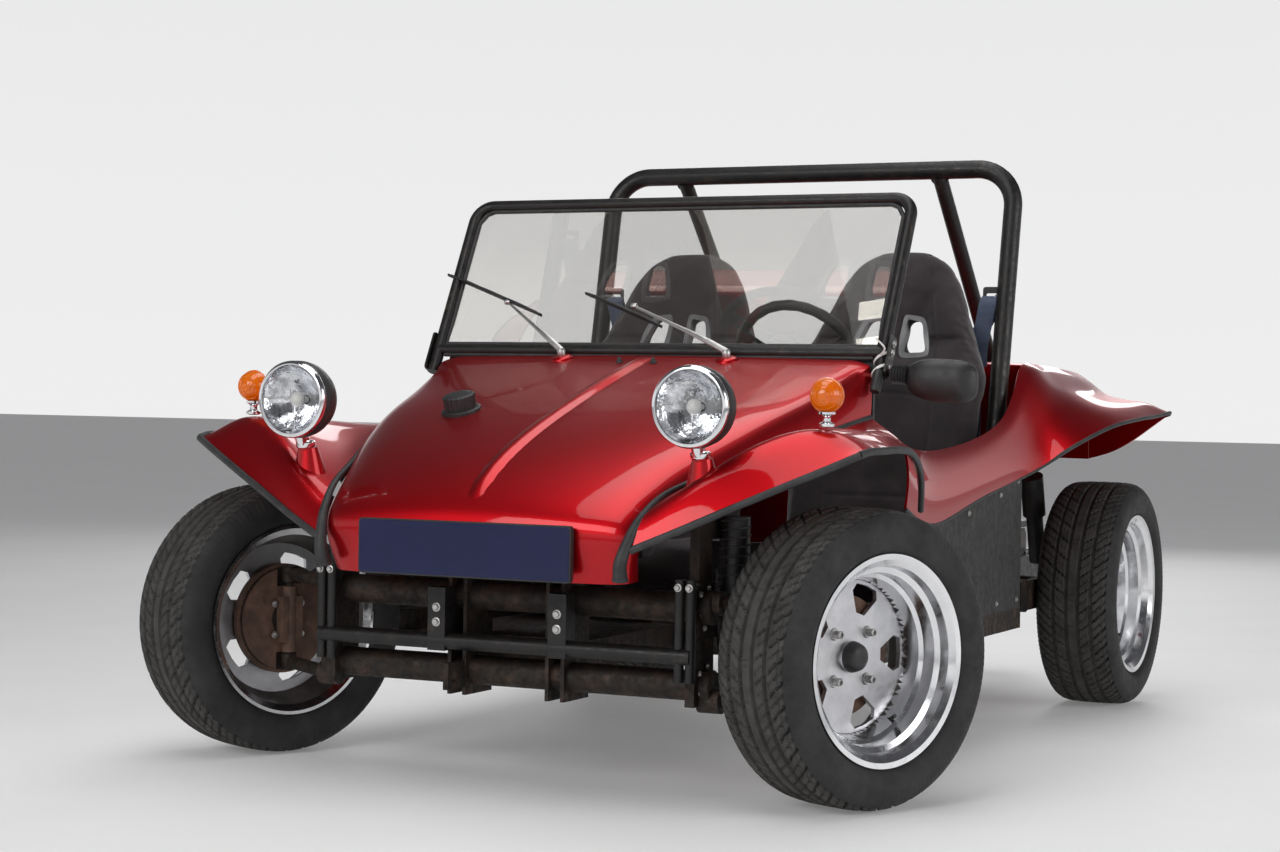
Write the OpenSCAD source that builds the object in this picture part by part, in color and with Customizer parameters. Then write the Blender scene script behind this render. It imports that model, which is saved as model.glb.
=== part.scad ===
// Dune buggy: glass-fibre open body on a shortened rear-engined floor pan.
// The nose points to -Y, the car's left side is +X, and the tyres stand on z = 0.

/* [Chassis] */
// Distance between the front and rear axles
wheelbase = 1900; // [1850:10:1950]
// Sideways place of each front steering pivot
kingpin_x = 635; // [630:1:640]
// Sideways place of each rear wheel's centre
rear_wheel_x = 665; // [660:1:675]
// Height of the underside of the floor pan
pan_z = 235; // [225:1:245]
// Angle of the front wheels from straight ahead, to the car's right
steer_angle = 23; // [20:1:26]

/* [Wheels] */
// Outer radius of a tyre
tyre_r = 293; // [290:1:295]
// Widest part of a tyre
tyre_w = 205; // [200:1:210]
// Outer radius of a rim's flange
flange_r = 207; // [206:1:208]
// Distance between the wheel's centre plane and the steering pivot
wheel_offset = 67; // [65:1:70]
// Radius of the circle of wheel bolts
bolt_circle_r = 65; // [60:1:70]

/* [Body] */
// Thickness of the glass-fibre shell
shell_t = 5; // [4:0.5:6]
// Half width of the windshield frame, to the middle of its tube
screen_half_w = 555; // [545:1:560]
// Height of the windshield frame's lower rail
screen_z = 896; // [890:1:900]
// Length of the windshield frame, from lower to upper rail
screen_len = 391; // [380:1:395]
// Backward lean of the windshield
screen_lean = 27; // [25:0.5:29]
// Diameter of the windshield frame's tube
screen_tube_d = 28; // [24:1:30]

/* [Roll bar] */
// Height of the roll bar's top tube, to its middle
roll_bar_z = 1378; // [1350:1:1400]
// Half width of the roll bar, to the middle of its tube
roll_bar_half_w = 556; // [545:1:560]
// Distance of the roll bar's top behind the front axle
roll_bar_y = 1425; // [1415:1:1435]
// Backward lean of the roll bar
roll_bar_lean = 11.3; // [10:0.1:12]
// Diameter of the roll bar's tube
roll_bar_d = 46; // [42:1:50]

/* [Seats] */
// Sideways place of each seat's middle
seat_x = 295; // [285:1:300]
// Height of the top of the seat backs
seat_top_z = 1175; // [1160:1:1180]

/* [Hidden] */
$fn = 48;

// The front-most and rear-most faces, measured from the front axle
nose_y = -356;
tail_y = 2484;
centre_y = (nose_y + tail_y) / 2;

// Colours
paint_red = [0.72, 0.03, 0.05];
coated_black = [0.05, 0.05, 0.05];
rubber_black = [0.03, 0.03, 0.03];
worn_steel = [0.16, 0.12, 0.10];
polished = [0.85, 0.86, 0.88];
cloth_black = [0.10, 0.08, 0.09];
amber = [1.0, 0.45, 0.02];

// Steering linkage
arm_len = 100;
tow_eye_r = 12;
rod_z = 375;
pitman_pivot = [120, -30];
column_foot = [130, -40, 430];
wheel_hub_pos = [240, 800, 865];

// Everything is drawn with the front axle at y = 0 and moved once
module on_axle_frame() {
    translate([0, -centre_y, 0]) children();
}

module both_sides() {
    children();
    mirror([1, 0, 0]) children();
}

// ---- Curves and shells ----

function between(a, b, c, d, t) =
    0.5 * (2 * b + (c - a) * t + (2 * a - 5 * b + 4 * c - d) * t * t
    + (3 * b - a - 3 * c + d) * t * t * t);

// A smooth line through the points p with n steps in each span
function smooth_line(p, n) = [
    for (i = [0:len(p) - 2])
        for (k = [0:n - 1])
            between(p[max(i - 1, 0)], p[i], p[i + 1], p[min(i + 2, len(p) - 1)], k / n),
    p[len(p) - 1]
];

function swap(g) = [for (j = [0:len(g[0]) - 1]) [for (i = [0:len(g) - 1]) g[i][j]]];

// A smooth surface through a grid of points: n steps between rows, m between columns
function smooth_grid(g, n, m) =
    swap([for (c = swap([for (r = g) smooth_line(r, m)])) smooth_line(c, n)]);

// A half row of points, starting on the centre line, and its mirror image
function full_row(r) = concat(
    [for (i = [len(r) - 1:-1:1]) [-r[i].x, r[i].y, r[i].z]], r);

function unit(v) = v / max(norm(v), 0.001);

function surface_normal(g, i, j) =
    let (rows = len(g) - 1, cols = len(g[0]) - 1)
    unit(cross(g[i][min(j + 1, cols)] - g[i][max(j - 1, 0)],
        g[min(i + 1, rows)][j] - g[max(i - 1, 0)][j]));

// A shell of thickness t whose outer face is the grid g and whose inner face lies behind it
module shell(g, t) {
    rows = len(g);
    cols = len(g[0]);
    count = rows * cols;
    outer = [for (r = g) for (p = r) p];
    inner = [
        for (i = [0:rows - 1])
            for (j = [0:cols - 1])
                g[i][j] - t * surface_normal(g, i, j)
    ];
    function at(i, j) = i * cols + j;
    faces = concat(
        [for (i = [0:rows - 2]) for (j = [0:cols - 2]) [at(i, j), at(i + 1, j), at(i, j + 1)]],
        [for (i = [0:rows - 2]) for (j = [0:cols - 2])
            [at(i + 1, j), at(i + 1, j + 1), at(i, j + 1)]],
        [for (i = [0:rows - 2]) for (j = [0:cols - 2])
            [count + at(i, j), count + at(i, j + 1), count + at(i + 1, j)]],
        [for (i = [0:rows - 2]) for (j = [0:cols - 2])
            [count + at(i + 1, j), count + at(i, j + 1), count + at(i + 1, j + 1)]],
        [for (j = [0:cols - 2]) [at(0, j), at(0, j + 1), count + at(0, j)]],
        [for (j = [0:cols - 2]) [at(0, j + 1), count + at(0, j + 1), count + at(0, j)]],
        [for (j = [0:cols - 2]) [at(rows - 1, j + 1), at(rows - 1, j), count + at(rows - 1, j)]],
        [for (j = [0:cols - 2])
            [at(rows - 1, j + 1), count + at(rows - 1, j), count + at(rows - 1, j + 1)]],
        [for (i = [0:rows - 2]) [at(i + 1, 0), at(i, 0), count + at(i, 0)]],
        [for (i = [0:rows - 2]) [at(i + 1, 0), count + at(i, 0), count + at(i + 1, 0)]],
        [for (i = [0:rows - 2]) [at(i, cols - 1), at(i + 1, cols - 1), count + at(i, cols - 1)]],
        [for (i = [0:rows - 2])
            [at(i + 1, cols - 1), count + at(i + 1, cols - 1), count + at(i, cols - 1)]]
    );
    polyhedron(concat(outer, inner), faces, convexity = 8);
}

// ---- Tubes and bars ----

module rod(a, b, r) {
    d = b - a;
    translate(a)
        rotate([0, acos(d.z / norm(d)), atan2(d.y, d.x)])
            cylinder(r = r, h = norm(d));
}

module box(low, high) {
    translate(low) cube(high - low);
}

// A quarter of a ring: tube radius r, bend radius bend, from +X round to +Y
module elbow(bend, r) {
    rotate_extrude(angle = 90) translate([bend, 0]) circle(r);
}

// An upside-down U of round tube in the XZ plane
module hoop(half_w, height, bend, r) {
    for (side = [-1, 1])
        translate([side * half_w, 0, 0]) cylinder(r = r, h = height - bend);
    translate([bend - half_w, 0, height])
        rotate([0, 90, 0]) cylinder(r = r, h = 2 * (half_w - bend));
    both_sides()
        translate([half_w - bend, 0, height - bend])
            rotate([90, 0, 0]) elbow(bend, r);
}

// ---- Body shell ----

// Rows of the front fender, front to back; each runs from the hood seam to the lip
front_fender_rows = [
    [[352, -325, 500], [440, -296, 540], [530, -262, 583], [620, -228, 625], [700, -196, 662], [758, -172, 690]],
    [[362, -300, 560], [445, -262, 625], [530, -210, 690], [610, -165, 725], [690, -145, 725], [764, -128, 696]],
    [[385, -225, 605], [450, -190, 640], [545, -140, 700], [625, -100, 734], [700, -80, 732], [768, -60, 697]],
    [[425, -100, 640], [475, -80, 660], [560, -50, 705], [635, -20, 736], [705, 0, 732], [768, 15, 698]],
    [[480, 60, 680], [520, 70, 685], [585, 85, 712], [645, 95, 732], [708, 100, 724], [762, 100, 692]],
    [[515, 210, 712], [550, 215, 712], [605, 220, 722], [652, 225, 724], [702, 220, 706], [742, 205, 668]],
    [[535, 340, 738], [570, 335, 728], [615, 328, 718], [655, 322, 706], [694, 308, 678], [722, 285, 630]],
    [[550, 440, 755], [583, 430, 735], [622, 412, 712], [655, 392, 684], [684, 366, 640], [704, 336, 566]]
];

// Rows of the side from the front fender to the tail; each runs from the top edge to the lip
body_side_rows = [
    [[550, 440, 755], [583, 430, 735], [622, 412, 712], [645, 400, 684], [655, 392, 630], [652, 385, 566]],
    [[572, 530, 712], [595, 525, 700], [618, 520, 672], [636, 515, 634], [645, 510, 585], [642, 505, 535]],
    [[592, 660, 682], [606, 660, 670], [620, 660, 645], [632, 660, 610], [638, 660, 570], [634, 660, 524]],
    [[602, 940, 700], [613, 940, 684], [624, 940, 660], [632, 940, 630], [637, 940, 600], [634, 940, 568]],
    [[606, 1170, 745], [619, 1172, 724], [629, 1175, 695], [638, 1178, 662], [643, 1182, 630], [641, 1186, 603]],
    [[602, 1290, 815], [619, 1294, 790], [633, 1300, 750], [647, 1308, 706], [660, 1316, 666], [668, 1322, 636]],
    [[588, 1390, 887], [614, 1400, 870], [642, 1405, 828], [668, 1410, 778], [702, 1416, 730], [730, 1420, 692]],
    [[580, 1560, 890], [608, 1560, 870], [641, 1560, 833], [684, 1560, 800], [736, 1556, 766], [782, 1550, 736]],
    [[578, 1760, 884], [607, 1760, 862], [642, 1756, 828], [692, 1750, 803], [754, 1745, 784], [808, 1735, 756]],
    [[576, 1900, 877], [606, 1900, 856], [642, 1900, 826], [692, 1896, 806], [757, 1888, 794], [813, 1872, 762]],
    [[574, 2005, 866], [604, 2005, 846], [642, 2002, 818], [693, 1996, 806], [758, 1980, 798], [817, 1960, 769]],
    [[572, 2068, 835], [602, 2066, 818], [642, 2060, 800], [694, 2050, 794], [760, 2030, 788], [817, 2005, 772]],
    [[570, 2096, 735], [600, 2094, 738], [642, 2088, 744], [695, 2075, 754], [760, 2052, 768], [813, 2026, 771]],
    [[570, 2100, 642], [600, 2098, 650], [642, 2092, 664], [695, 2078, 692], [758, 2056, 735], [806, 2034, 767]]
];

// Half rows of the hood, front edge to windshield; each runs from the middle to the fender seam
hood_rows = [
    [[0, -318, 432], [110, -318, 432], [220, -312, 432], [300, -300, 432], [330, -285, 434], [340, -262, 438]],
    [[0, -334, 500], [110, -334, 500], [220, -330, 499], [305, -320, 497], [340, -306, 494], [349, -284, 490]],
    [[0, -330, 556], [110, -330, 556], [220, -326, 553], [308, -316, 548], [348, -298, 540], [358, -270, 528]],
    [[0, -292, 606], [110, -290, 605], [220, -285, 601], [315, -272, 594], [362, -248, 582], [378, -220, 560]],
    [[0, -205, 662], [115, -203, 661], [230, -196, 656], [330, -182, 648], [388, -155, 632], [410, -128, 598]],
    [[0, -80, 716], [128, -78, 715], [255, -72, 711], [362, -60, 703], [428, -38, 684], [454, -15, 642]],
    [[0, 90, 774], [140, 92, 773], [275, 96, 770], [395, 104, 764], [468, 120, 746], [494, 138, 694]],
    [[0, 280, 831], [150, 282, 830], [298, 286, 826], [430, 294, 818], [504, 304, 800], [526, 315, 732]],
    [[0, 478, 886], [150, 478, 885], [305, 478, 883], [450, 478, 880], [532, 474, 868], [548, 440, 757]]
];

// Half rows of the rear deck, from behind the seats to the tail
rear_deck_rows = [
    [[0, 1462, 300], [150, 1462, 300], [300, 1462, 300], [430, 1462, 300], [560, 1462, 300]],
    [[0, 1460, 640], [150, 1460, 640], [300, 1460, 640], [440, 1460, 640], [570, 1456, 640]],
    [[0, 1456, 862], [150, 1456, 862], [300, 1456, 862], [440, 1450, 862], [582, 1436, 860]],
    [[0, 1482, 894], [150, 1482, 894], [300, 1482, 894], [440, 1478, 893], [584, 1462, 889]],
    [[0, 1600, 899], [150, 1600, 899], [300, 1598, 898], [440, 1592, 896], [578, 1580, 889]],
    [[0, 1780, 893], [150, 1780, 893], [300, 1779, 892], [440, 1775, 890], [577, 1765, 883]],
    [[0, 1960, 880], [150, 1960, 880], [300, 1958, 879], [440, 1950, 877], [574, 1940, 872]],
    [[0, 2060, 862], [150, 2060, 862], [300, 2056, 861], [440, 2050, 858], [572, 2038, 851]],
    [[0, 2108, 815], [150, 2108, 815], [300, 2104, 813], [440, 2096, 810], [571, 2078, 806]],
    [[0, 2118, 730], [150, 2118, 730], [300, 2115, 729], [440, 2108, 728], [569, 2097, 725]],
    [[0, 2122, 642], [150, 2122, 642], [300, 2119, 642], [440, 2112, 642], [569, 2101, 641]]
];

module front_fender() {
    color(paint_red) shell(smooth_grid(front_fender_rows, 4, 3), shell_t);
}

module body_side() {
    color(paint_red) shell(smooth_grid(body_side_rows, 3, 3), shell_t);
}

module hood() {
    color(paint_red)
        shell(smooth_grid([for (r = hood_rows) full_row(r)], 3, 2), shell_t);
}

module rear_deck() {
    color(paint_red)
        shell(smooth_grid([for (r = rear_deck_rows) full_row(r)], 3, 2), shell_t);
}

// ---- Panels under the body ----

module floor_pan() {
    rail_h = 55;
    color(worn_steel) {
        box([-600, 360, pan_z], [600, 1385, pan_z + 6]);
        for (side = [-1, 1])
            box([side * 577 - 23, 400, pan_z + 6], [side * 577 + 23, 1385, pan_z + rail_h]);
        translate([0, 360, pan_z + 6])
            rotate([-90, 0, 0])
                intersection() {
                    cylinder(r = 95, h = 1085);
                    box([-95, -95, 0], [95, 0, 1085]);
                }
        box([-130, -60, pan_z], [130, 362, pan_z + 60]);
        for (side = [-1, 1])
            box([side * 90 - 30, 1380, 272], [side * 90 + 30, 1517, 328]);
    }
}

module side_panels() {
    points = [[362, 288], [1352, 288], [1352, 638], [1240, 615], [1180, 596], [940, 562],
        [660, 518], [520, 530], [440, 560]];
    color(coated_black)
        both_sides()
            translate([600, 0, 0])
                rotate([90, 0, 90]) linear_extrude(8) polygon(points);
}

module dashboard() {
    color(coated_black)
        difference() {
            union() {
                box([-530, 500, 690], [530, 512, 880]);
                box([-500, 440, 848], [500, 501, 856]);
            }
            rod(column_foot, wheel_hub_pos, 22);
        }
}

// ---- Front end ----

beam_y = -130;
beam_tube_z = [228, 382];
shock_y = -60;
ball_joint_z = [200, 392];

module front_beam() {
    color(worn_steel) {
        for (z = beam_tube_z)
            translate([-420, beam_y, z]) rotate([0, 90, 0]) cylinder(r = 30, h = 840);
        difference() {
            box([-106, -236, 196], [-94, -120, 250]);
            translate([-107, -214, 222]) rotate([0, 90, 0]) cylinder(r = tow_eye_r, h = 14);
        }
        for (side = [-1, 1]) {
            box([side * 412 - 10, beam_y - 45, 190], [side * 412 + 10, beam_y + 45, 430]);
            box([side * 412 - 10, beam_y - 30, 429], [side * 412 + 10, beam_y + 30, 565]);
            box([side * 412 - 10, beam_y + 29, 515], [side * 412 + 10, shock_y + 12, 565]);
            for (z = ball_joint_z) {
                rod([side * 446, beam_y, z], [side * 614, -16, z], 14);
                rod([side * 415, beam_y, z], [side * 462, beam_y, z], 24);
                translate([side * kingpin_x, 0, z - 14]) cylinder(r = 16, h = 28);
            }
            translate([side * kingpin_x, 0, ball_joint_z[0]]) cylinder(r = 9, h = 44);
            translate([side * kingpin_x, 0, ball_joint_z[1] - 44]) cylinder(r = 9, h = 44);
            for (x = [95, 130])
                box([side * x - 4, beam_y - 40, 180], [side * x + 4, beam_y + 69, 450]);
        }
    }
}

module bumper_bar() {
    color(worn_steel) {
        rod([-425, -196, 291], [425, -196, 291], 17);
        for (side = [-1, 1]) {
            for (x = [398, 422]) rod([side * x, -196, 240], [side * x, -196, 440], 10);
            for (x = [398, 422]) rod([side * x, -196, 430], [side * x, -176, 430], 10);
            box([side * 138 - 20, -212, 272], [side * 138 + 20, -172, 400]);
        }
    }
}

module number_plate() {
    color([0.05, 0.08, 0.25]) box([-232, -352, 440], [232, -346, 538]);
    color(coated_black)
        difference() {
            box([-238, nose_y, 434], [238, -338, 544]);
            box([-230, nose_y - 1, 442], [230, -346, 536]);
        }
}

module fuel_cap() {
    color(coated_black)
        translate([-236, 50, 751]) rotate([18, -3, 0]) {
            cylinder(r = 43, h = 12);
            translate([0, 0, 12]) cylinder(r = 36, h = 32);
        }
}

module fuel_tank() {
    color(coated_black)
        hull()
            for (x = [-330, 30], y = [20, 330])
                translate([x, y, 440]) cylinder(r = 30, h = 210, $fn = 24);
}

module lamp_stalk(x) {
    color(paint_red)
        translate([x, -205, 600]) rotate([8, 0, 0]) cylinder(r1 = 40, r2 = 20, h = 78, $fn = 32);
}

module lamp_stalks() {
    both_sides() lamp_stalk(450);
}

module headlight() {
    color(polished)
        translate([450, -285, 776]) rotate([-90, 0, 0])
            rotate_extrude()
                polygon([[0, 0], [45, 3], [70, 8], [78, 12], [78, 26], [72, 30], [70, 45], [55, 75],
                    [30, 92], [0, 96]]);
    color(polished) rod([450, -232, 682], [450, -232, 712], 12);
}

module headlights() {
    both_sides() headlight();
}

module indicators() {
    both_sides() {
        color(amber) translate([662, -108, 802]) sphere(33);
        color(polished) rod([662, -108, 738], [662, -108, 772], 8);
    }
}

// ---- Windshield ----

module on_screen() {
    translate([0, 495, screen_z]) rotate([-screen_lean, 0, 0]) children();
}

module windshield_frame() {
    r = screen_tube_d / 2;
    color(coated_black)
        on_screen() {
            hoop(screen_half_w, screen_len, 45, r);
            translate([-screen_half_w, 0, 0])
                rotate([0, 90, 0]) cylinder(r = r, h = 2 * screen_half_w);
            for (side = [-1, 1])
                translate([side * screen_half_w, 0, -60]) cylinder(r = r, h = 60);
        }
}

module windshield_glass() {
    r = screen_tube_d / 2;
    w = screen_half_w - r;
    color([0.8, 0.85, 0.85, 0.3])
        on_screen()
            translate([0, 2.5, 0]) rotate([90, 0, 0])
                linear_extrude(5)
                    polygon([[-w, r], [w, r], [w, screen_len - 48], [w - 32, screen_len - r],
                        [32 - w, screen_len - r], [-w, screen_len - 48]]);
}

module wiper(x, tip) {
    foot = [x, 440, 876];
    knee = foot + [-55, -20, 90];
    color(coated_black) {
        rod(foot - [0, 0, 14], foot + [0, -4, 12], 12);
        rod(foot, knee, 4);
        rod(knee - [tip, 0, 0] * 0.5 + [0, 0, 0], knee + [tip, 0, 0] * 0.5, 6);
    }
}

module wipers() {
    wiper(205, -190);
    wiper(-205, -190);
}

module mirror_head() {
    color(coated_black) {
        hull()
            for (x = [632, 765], z = [805, 870])
                translate([x, 452, z]) rotate([-90, 0, 0]) cylinder(r = 14, h = 45, $fn = 24);
        rod([575, 478, 852], [645, 470, 845], 12);
    }
}

// ---- Cockpit ----

// The seat back's two belt openings, mirrored about the seat's middle
belt_hole = [[30, -44], [98, -40], [74, 38], [30, 47]];

module seat(x) {
    color(cloth_black)
        translate([x, 0, 0]) {
            difference() {
                union() {
                    hull()
                        for (side = [-1, 1]) {
                            translate([side * 195, 1140, 420]) sphere(40, $fn = 24);
                            translate([side * 228, 1232, 850]) sphere(32, $fn = 24);
                            translate([side * 170, 1295, 985]) sphere(30, $fn = 24);
                        }
                    hull()
                        for (side = [-1, 1]) {
                            translate([side * 170, 1295, 985]) sphere(30, $fn = 24);
                            translate([side * 130, 1330, 1075]) sphere(30, $fn = 24);
                            translate([side * 98, 1348, 1120]) sphere(30, $fn = 24);
                            translate([side * 50, 1355, seat_top_z - 30]) sphere(30, $fn = 24);
                        }
                    hull()
                        for (side = [-1, 1], y = [860, 1170])
                            translate([side * 205, y, 330]) cylinder(r = 35, h = 110, $fn = 24);
                }
                for (side = [0, 1])
                    mirror([side, 0, 0])
                        translate([0, 1450, 952])
                            rotate([90, 0, 0]) linear_extrude(300) polygon(belt_hole);
            }
            for (side = [-1, 1])
                box([side * 170 - 15, 880, pan_z + 6], [side * 170 + 15, 1180, 332]);
        }
}

module seat_belts() {
    color([0.08, 0.09, 0.2])
        both_sides() {
            box([512, 1350, 1036], [532, 1371, 1062]);
            translate([0, 1372, 0])
                rotate([90, 0, 0]) linear_extrude(6)
                    polygon([[530, 1058], [516, 1036], [494, 930], [494, 300], [446, 300],
                        [446, 940], [508, 1060]]);
        }
}

// The roll bar's feet stand on the pan's side rails
roll_bar_foot_z = pan_z + 55;
roll_bar_len = (roll_bar_z - roll_bar_foot_z) / cos(roll_bar_lean);
roll_bar_foot_y = roll_bar_y - (roll_bar_z - roll_bar_foot_z) * tan(roll_bar_lean);

module roll_bar() {
    r = roll_bar_d / 2;
    color(coated_black) {
        translate([0, roll_bar_foot_y, roll_bar_foot_z + r * sin(roll_bar_lean)])
            rotate([-roll_bar_lean, 0, 0])
                hoop(roll_bar_half_w, roll_bar_len - r * sin(roll_bar_lean), 100, r);
        for (side = [-1, 1]) {
            rod([side * 355, roll_bar_y, roll_bar_z - 12], [side * 355, 1880, 903], 19);
            translate([side * 355, 1880, 887]) rotate([-4, 0, 0])
                box([-36, -34, 0], [36, 36, 6]);
        }
    }
}

module levers_and_pedals() {
    color(coated_black) {
        rod([0, 800, 339], [0, 760, 620], 7);
        translate([0, 758, 630]) sphere(22);
        rod([0, 980, 345], [0, 860, 440], 9);
        for (x = [210, 290, 360]) {
            rod([x, 430, 244], [x, 400, 420], 7);
            box([x - 30, 396, 415], [x + 30, 408, 480]);
        }
    }
}

module steering_column() {
    axis = unit(wheel_hub_pos - column_foot);
    color(coated_black) {
        rod(column_foot, wheel_hub_pos - axis * 70, 16);
        rod(wheel_hub_pos - axis * 260, wheel_hub_pos - axis * 70, 26);
        box([column_foot.x - 55, -56, 396], [column_foot.x + 35, 35, 470]);
    }
}

module steering_wheel() {
    axis = wheel_hub_pos - column_foot;
    color(rubber_black)
        translate(wheel_hub_pos)
            rotate([0, acos(axis.z / norm(axis)), atan2(axis.y, axis.x)]) {
                rotate_extrude() translate([162, 0]) circle(13);
                translate([0, 0, -30]) cylinder(r = 36, h = 22);
                translate([0, 0, -65]) cylinder(r = 18, h = 60);
                for (a = [90, 210, 330])
                    rotate([0, 0, a])
                        translate([20, -17, -14]) cube([136, 34, 5]);
            }
}

// ---- Drive train ----

module engine_and_gearbox() {
    axle_y = wheelbase;
    color(worn_steel) {
        box([-380, axle_y + 110, 250], [380, axle_y + 430, 470]);
        box([-230, axle_y + 240, 469], [230, axle_y + 390, 730]);
        hull() {
            translate([-90, axle_y - 280, 250]) cube([180, 20, 140]);
            translate([-150, axle_y - 60, 220]) cube([300, 171, 220]);
        }
    }
}

module exhaust() {
    color(worn_steel) {
        translate([-300, 2400, 300]) rotate([0, 90, 0]) cylinder(r = 65, h = 600);
        for (side = [-1, 1]) {
            rod([side * 250, 2333, 300], [side * 250, 2400, 300], 20);
            rod([side * 160, 2400, 262], [side * 160, tail_y, 262], 18);
        }
    }
}

module rear_suspension() {
    axle_y = wheelbase;
    color(worn_steel) {
        translate([-560, 1560, 300]) rotate([0, 90, 0]) cylinder(r = 42, h = 1120);
        both_sides() {
            box([545, 1520, 262], [560, 1860, 338]);
            rod([150, 1590, 300], [190, axle_y + 104, 300], 20);
            rod([152, axle_y, tyre_r], [560, axle_y, tyre_r], 34);
            translate([556, axle_y, tyre_r]) rotate([0, 90, 0]) cylinder(r = 60, h = 14);
            rod([560, axle_y, tyre_r], [650, axle_y, tyre_r], 15);
            box([520, 1780, 262], [562, axle_y + 20, 325]);
        }
    }
}

module shock(top, foot) {
    mid = top + (foot - top) * 0.45;
    rod(top, mid, 30);
    rod(mid, foot, 22);
}

module shock_absorbers() {
    color(coated_black)
        both_sides() {
            shock([454, shock_y, 560], [454, shock_y, 225]);
            rod([424, shock_y, 545], [454, shock_y, 545], 8);
            rod([454, shock_y, 232], [472, -92, 209], 7);
            shock([510, 1760, 600], [500, 1862, 372]);
        }
}

module tail_lights() {
    color([0.6, 0.02, 0.02])
        both_sides()
            translate([520, 2111, 715]) rotate([-90, 0, 0]) cylinder(r = 48, h = 32);
}

// ---- Wheels and steering ----

// A wheel part is drawn with its axis on +X, outboard side to +X and its centre at the origin
module spun() {
    rotate([0, 90, 0]) rotate_extrude($fn = 96) children();
}

module tyre() {
    half = tyre_w / 2;
    color(rubber_black)
        spun()
            polygon([[192, -82], [200, -84], [208, -86], [214, -96], [228, -half], [255, -half],
                [276, -92], [288, -78], [tyre_r, -50], [tyre_r, 50], [288, 78], [276, 92],
                [255, half], [228, half], [214, 96], [208, 86], [200, 84], [192, 82], [192, 66],
                [208, 70], [218, 84], [255, 88], [278, 50], [278, -50], [255, -88], [218, -84],
                [208, -70], [192, -66]]);
}

drum_r = 120;
// One of the five windows of a rim, pointing along +X
rim_window = [[86, -12], [86, 12], [124, 36], [141, 29], [144, 0], [141, -29], [124, -36]];

module rim() {
    color(polished)
        difference() {
            spun()
                polygon([[flange_r, 92], [flange_r, 88], [200, 86], [191, 84], [191, 64],
                    [180, 52], [180, -52], [191, -64], [191, -84], [200, -86],
                    [flange_r, -88], [flange_r, -92], [200, -92], [186, -82], [174, -50],
                    [164, -22], [40, -22], [40, -30], [drum_r, -32], [drum_r, -46],
                    [15.05, -46], [15.05, -4], [0, -4], [0, 14], [20, 14], [27, 8], [27, -12],
                    [150, -12], [158, 24], [166, 30], [169, 56], [180, 62], [184, 80], [196, 90]]);
            for (k = [0:4])
                rotate([k * 72 + 90, 0, 0])
                    rotate([0, 90, 0]) translate([0, 0, -29])
                        linear_extrude(19) polygon(rim_window);
            for (k = [0:3])
                rotate([k * 90 + 45, 0, 0])
                    translate([-40, 0, bolt_circle_r]) rotate([0, 90, 0]) cylinder(r = 7, h = 35);
        }
}

// How far the rear wheels have rolled round from the front ones
rear_wheel_turn = 11;

// Puts a front wheel part in place: side is 1 on the left and -1 on the right
module steered(side) {
    translate([side * kingpin_x, 0, tyre_r]) rotate([0, 0, -steer_angle]) children();
}

module front_wheel_place(side) {
    steered(side)
        translate([side * wheel_offset, 0, 0])
            if (side > 0) children();
            else mirror([1, 0, 0]) children();
}

module rear_wheel_place(side) {
    translate([side * rear_wheel_x, wheelbase, tyre_r])
        mirror([side > 0 ? 0 : 1, 0, 0]) rotate([rear_wheel_turn, 0, 0]) children();
}

module knuckle(side) {
    post_h = 144;
    color(worn_steel)
        steered(side)
            mirror([side > 0 ? 0 : 1, 0, 0])
                difference() {
                    union() {
                        translate([0, 0, -post_h / 2]) cylinder(r = 16, h = post_h);
                        translate([-14, -26, -50]) cube([28, 52, 100]);
                        difference() {
                            translate([10, 0, 0]) rotate([0, 90, 0]) cylinder(r = 112, h = 5);
                            for (z = [-123, 72]) translate([9, -26, z]) cube([7, 52, 51]);
                        }
                        rotate([0, 90, 0]) cylinder(r = 15, h = 60);
                        translate([-8, 0, 66]) cube([16, arm_len, 12]);
                        translate([0, arm_len, 66]) cylinder(r = 12, h = 12);
                    }
                    for (end = [-1, 1])
                        translate([0, 0, end * (post_h / 2 - 12.5) - 12.6])
                            cylinder(r = 9.05, h = 32);
                }
}

module pitman_arm() {
    color(worn_steel)
        translate([pitman_pivot.x, pitman_pivot.y, 0]) rotate([0, 0, -steer_angle]) {
            translate([0, 0, rod_z - 12]) cylinder(r = 16, h = 32);
            translate([-10, 0, rod_z - 12]) cube([20, arm_len, 10]);
            translate([0, arm_len, rod_z - 12]) cylinder(r = 13, h = 10);
        }
}

module tie_rods() {
    pivot = [pitman_pivot.x, pitman_pivot.y, rod_z]
        + arm_len * [sin(steer_angle), cos(steer_angle), 0];
    color(worn_steel) {
        translate([pivot.x, pivot.y, rod_z - 1]) cylinder(r = 14, h = 14);
        for (side = [-1, 1]) {
            tip = [side * kingpin_x, 0, rod_z + 6]
                + arm_len * [sin(steer_angle), cos(steer_angle), 0];
            rod([pivot.x, pivot.y, rod_z + 6], tip, 8);
        }
    }
}

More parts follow.
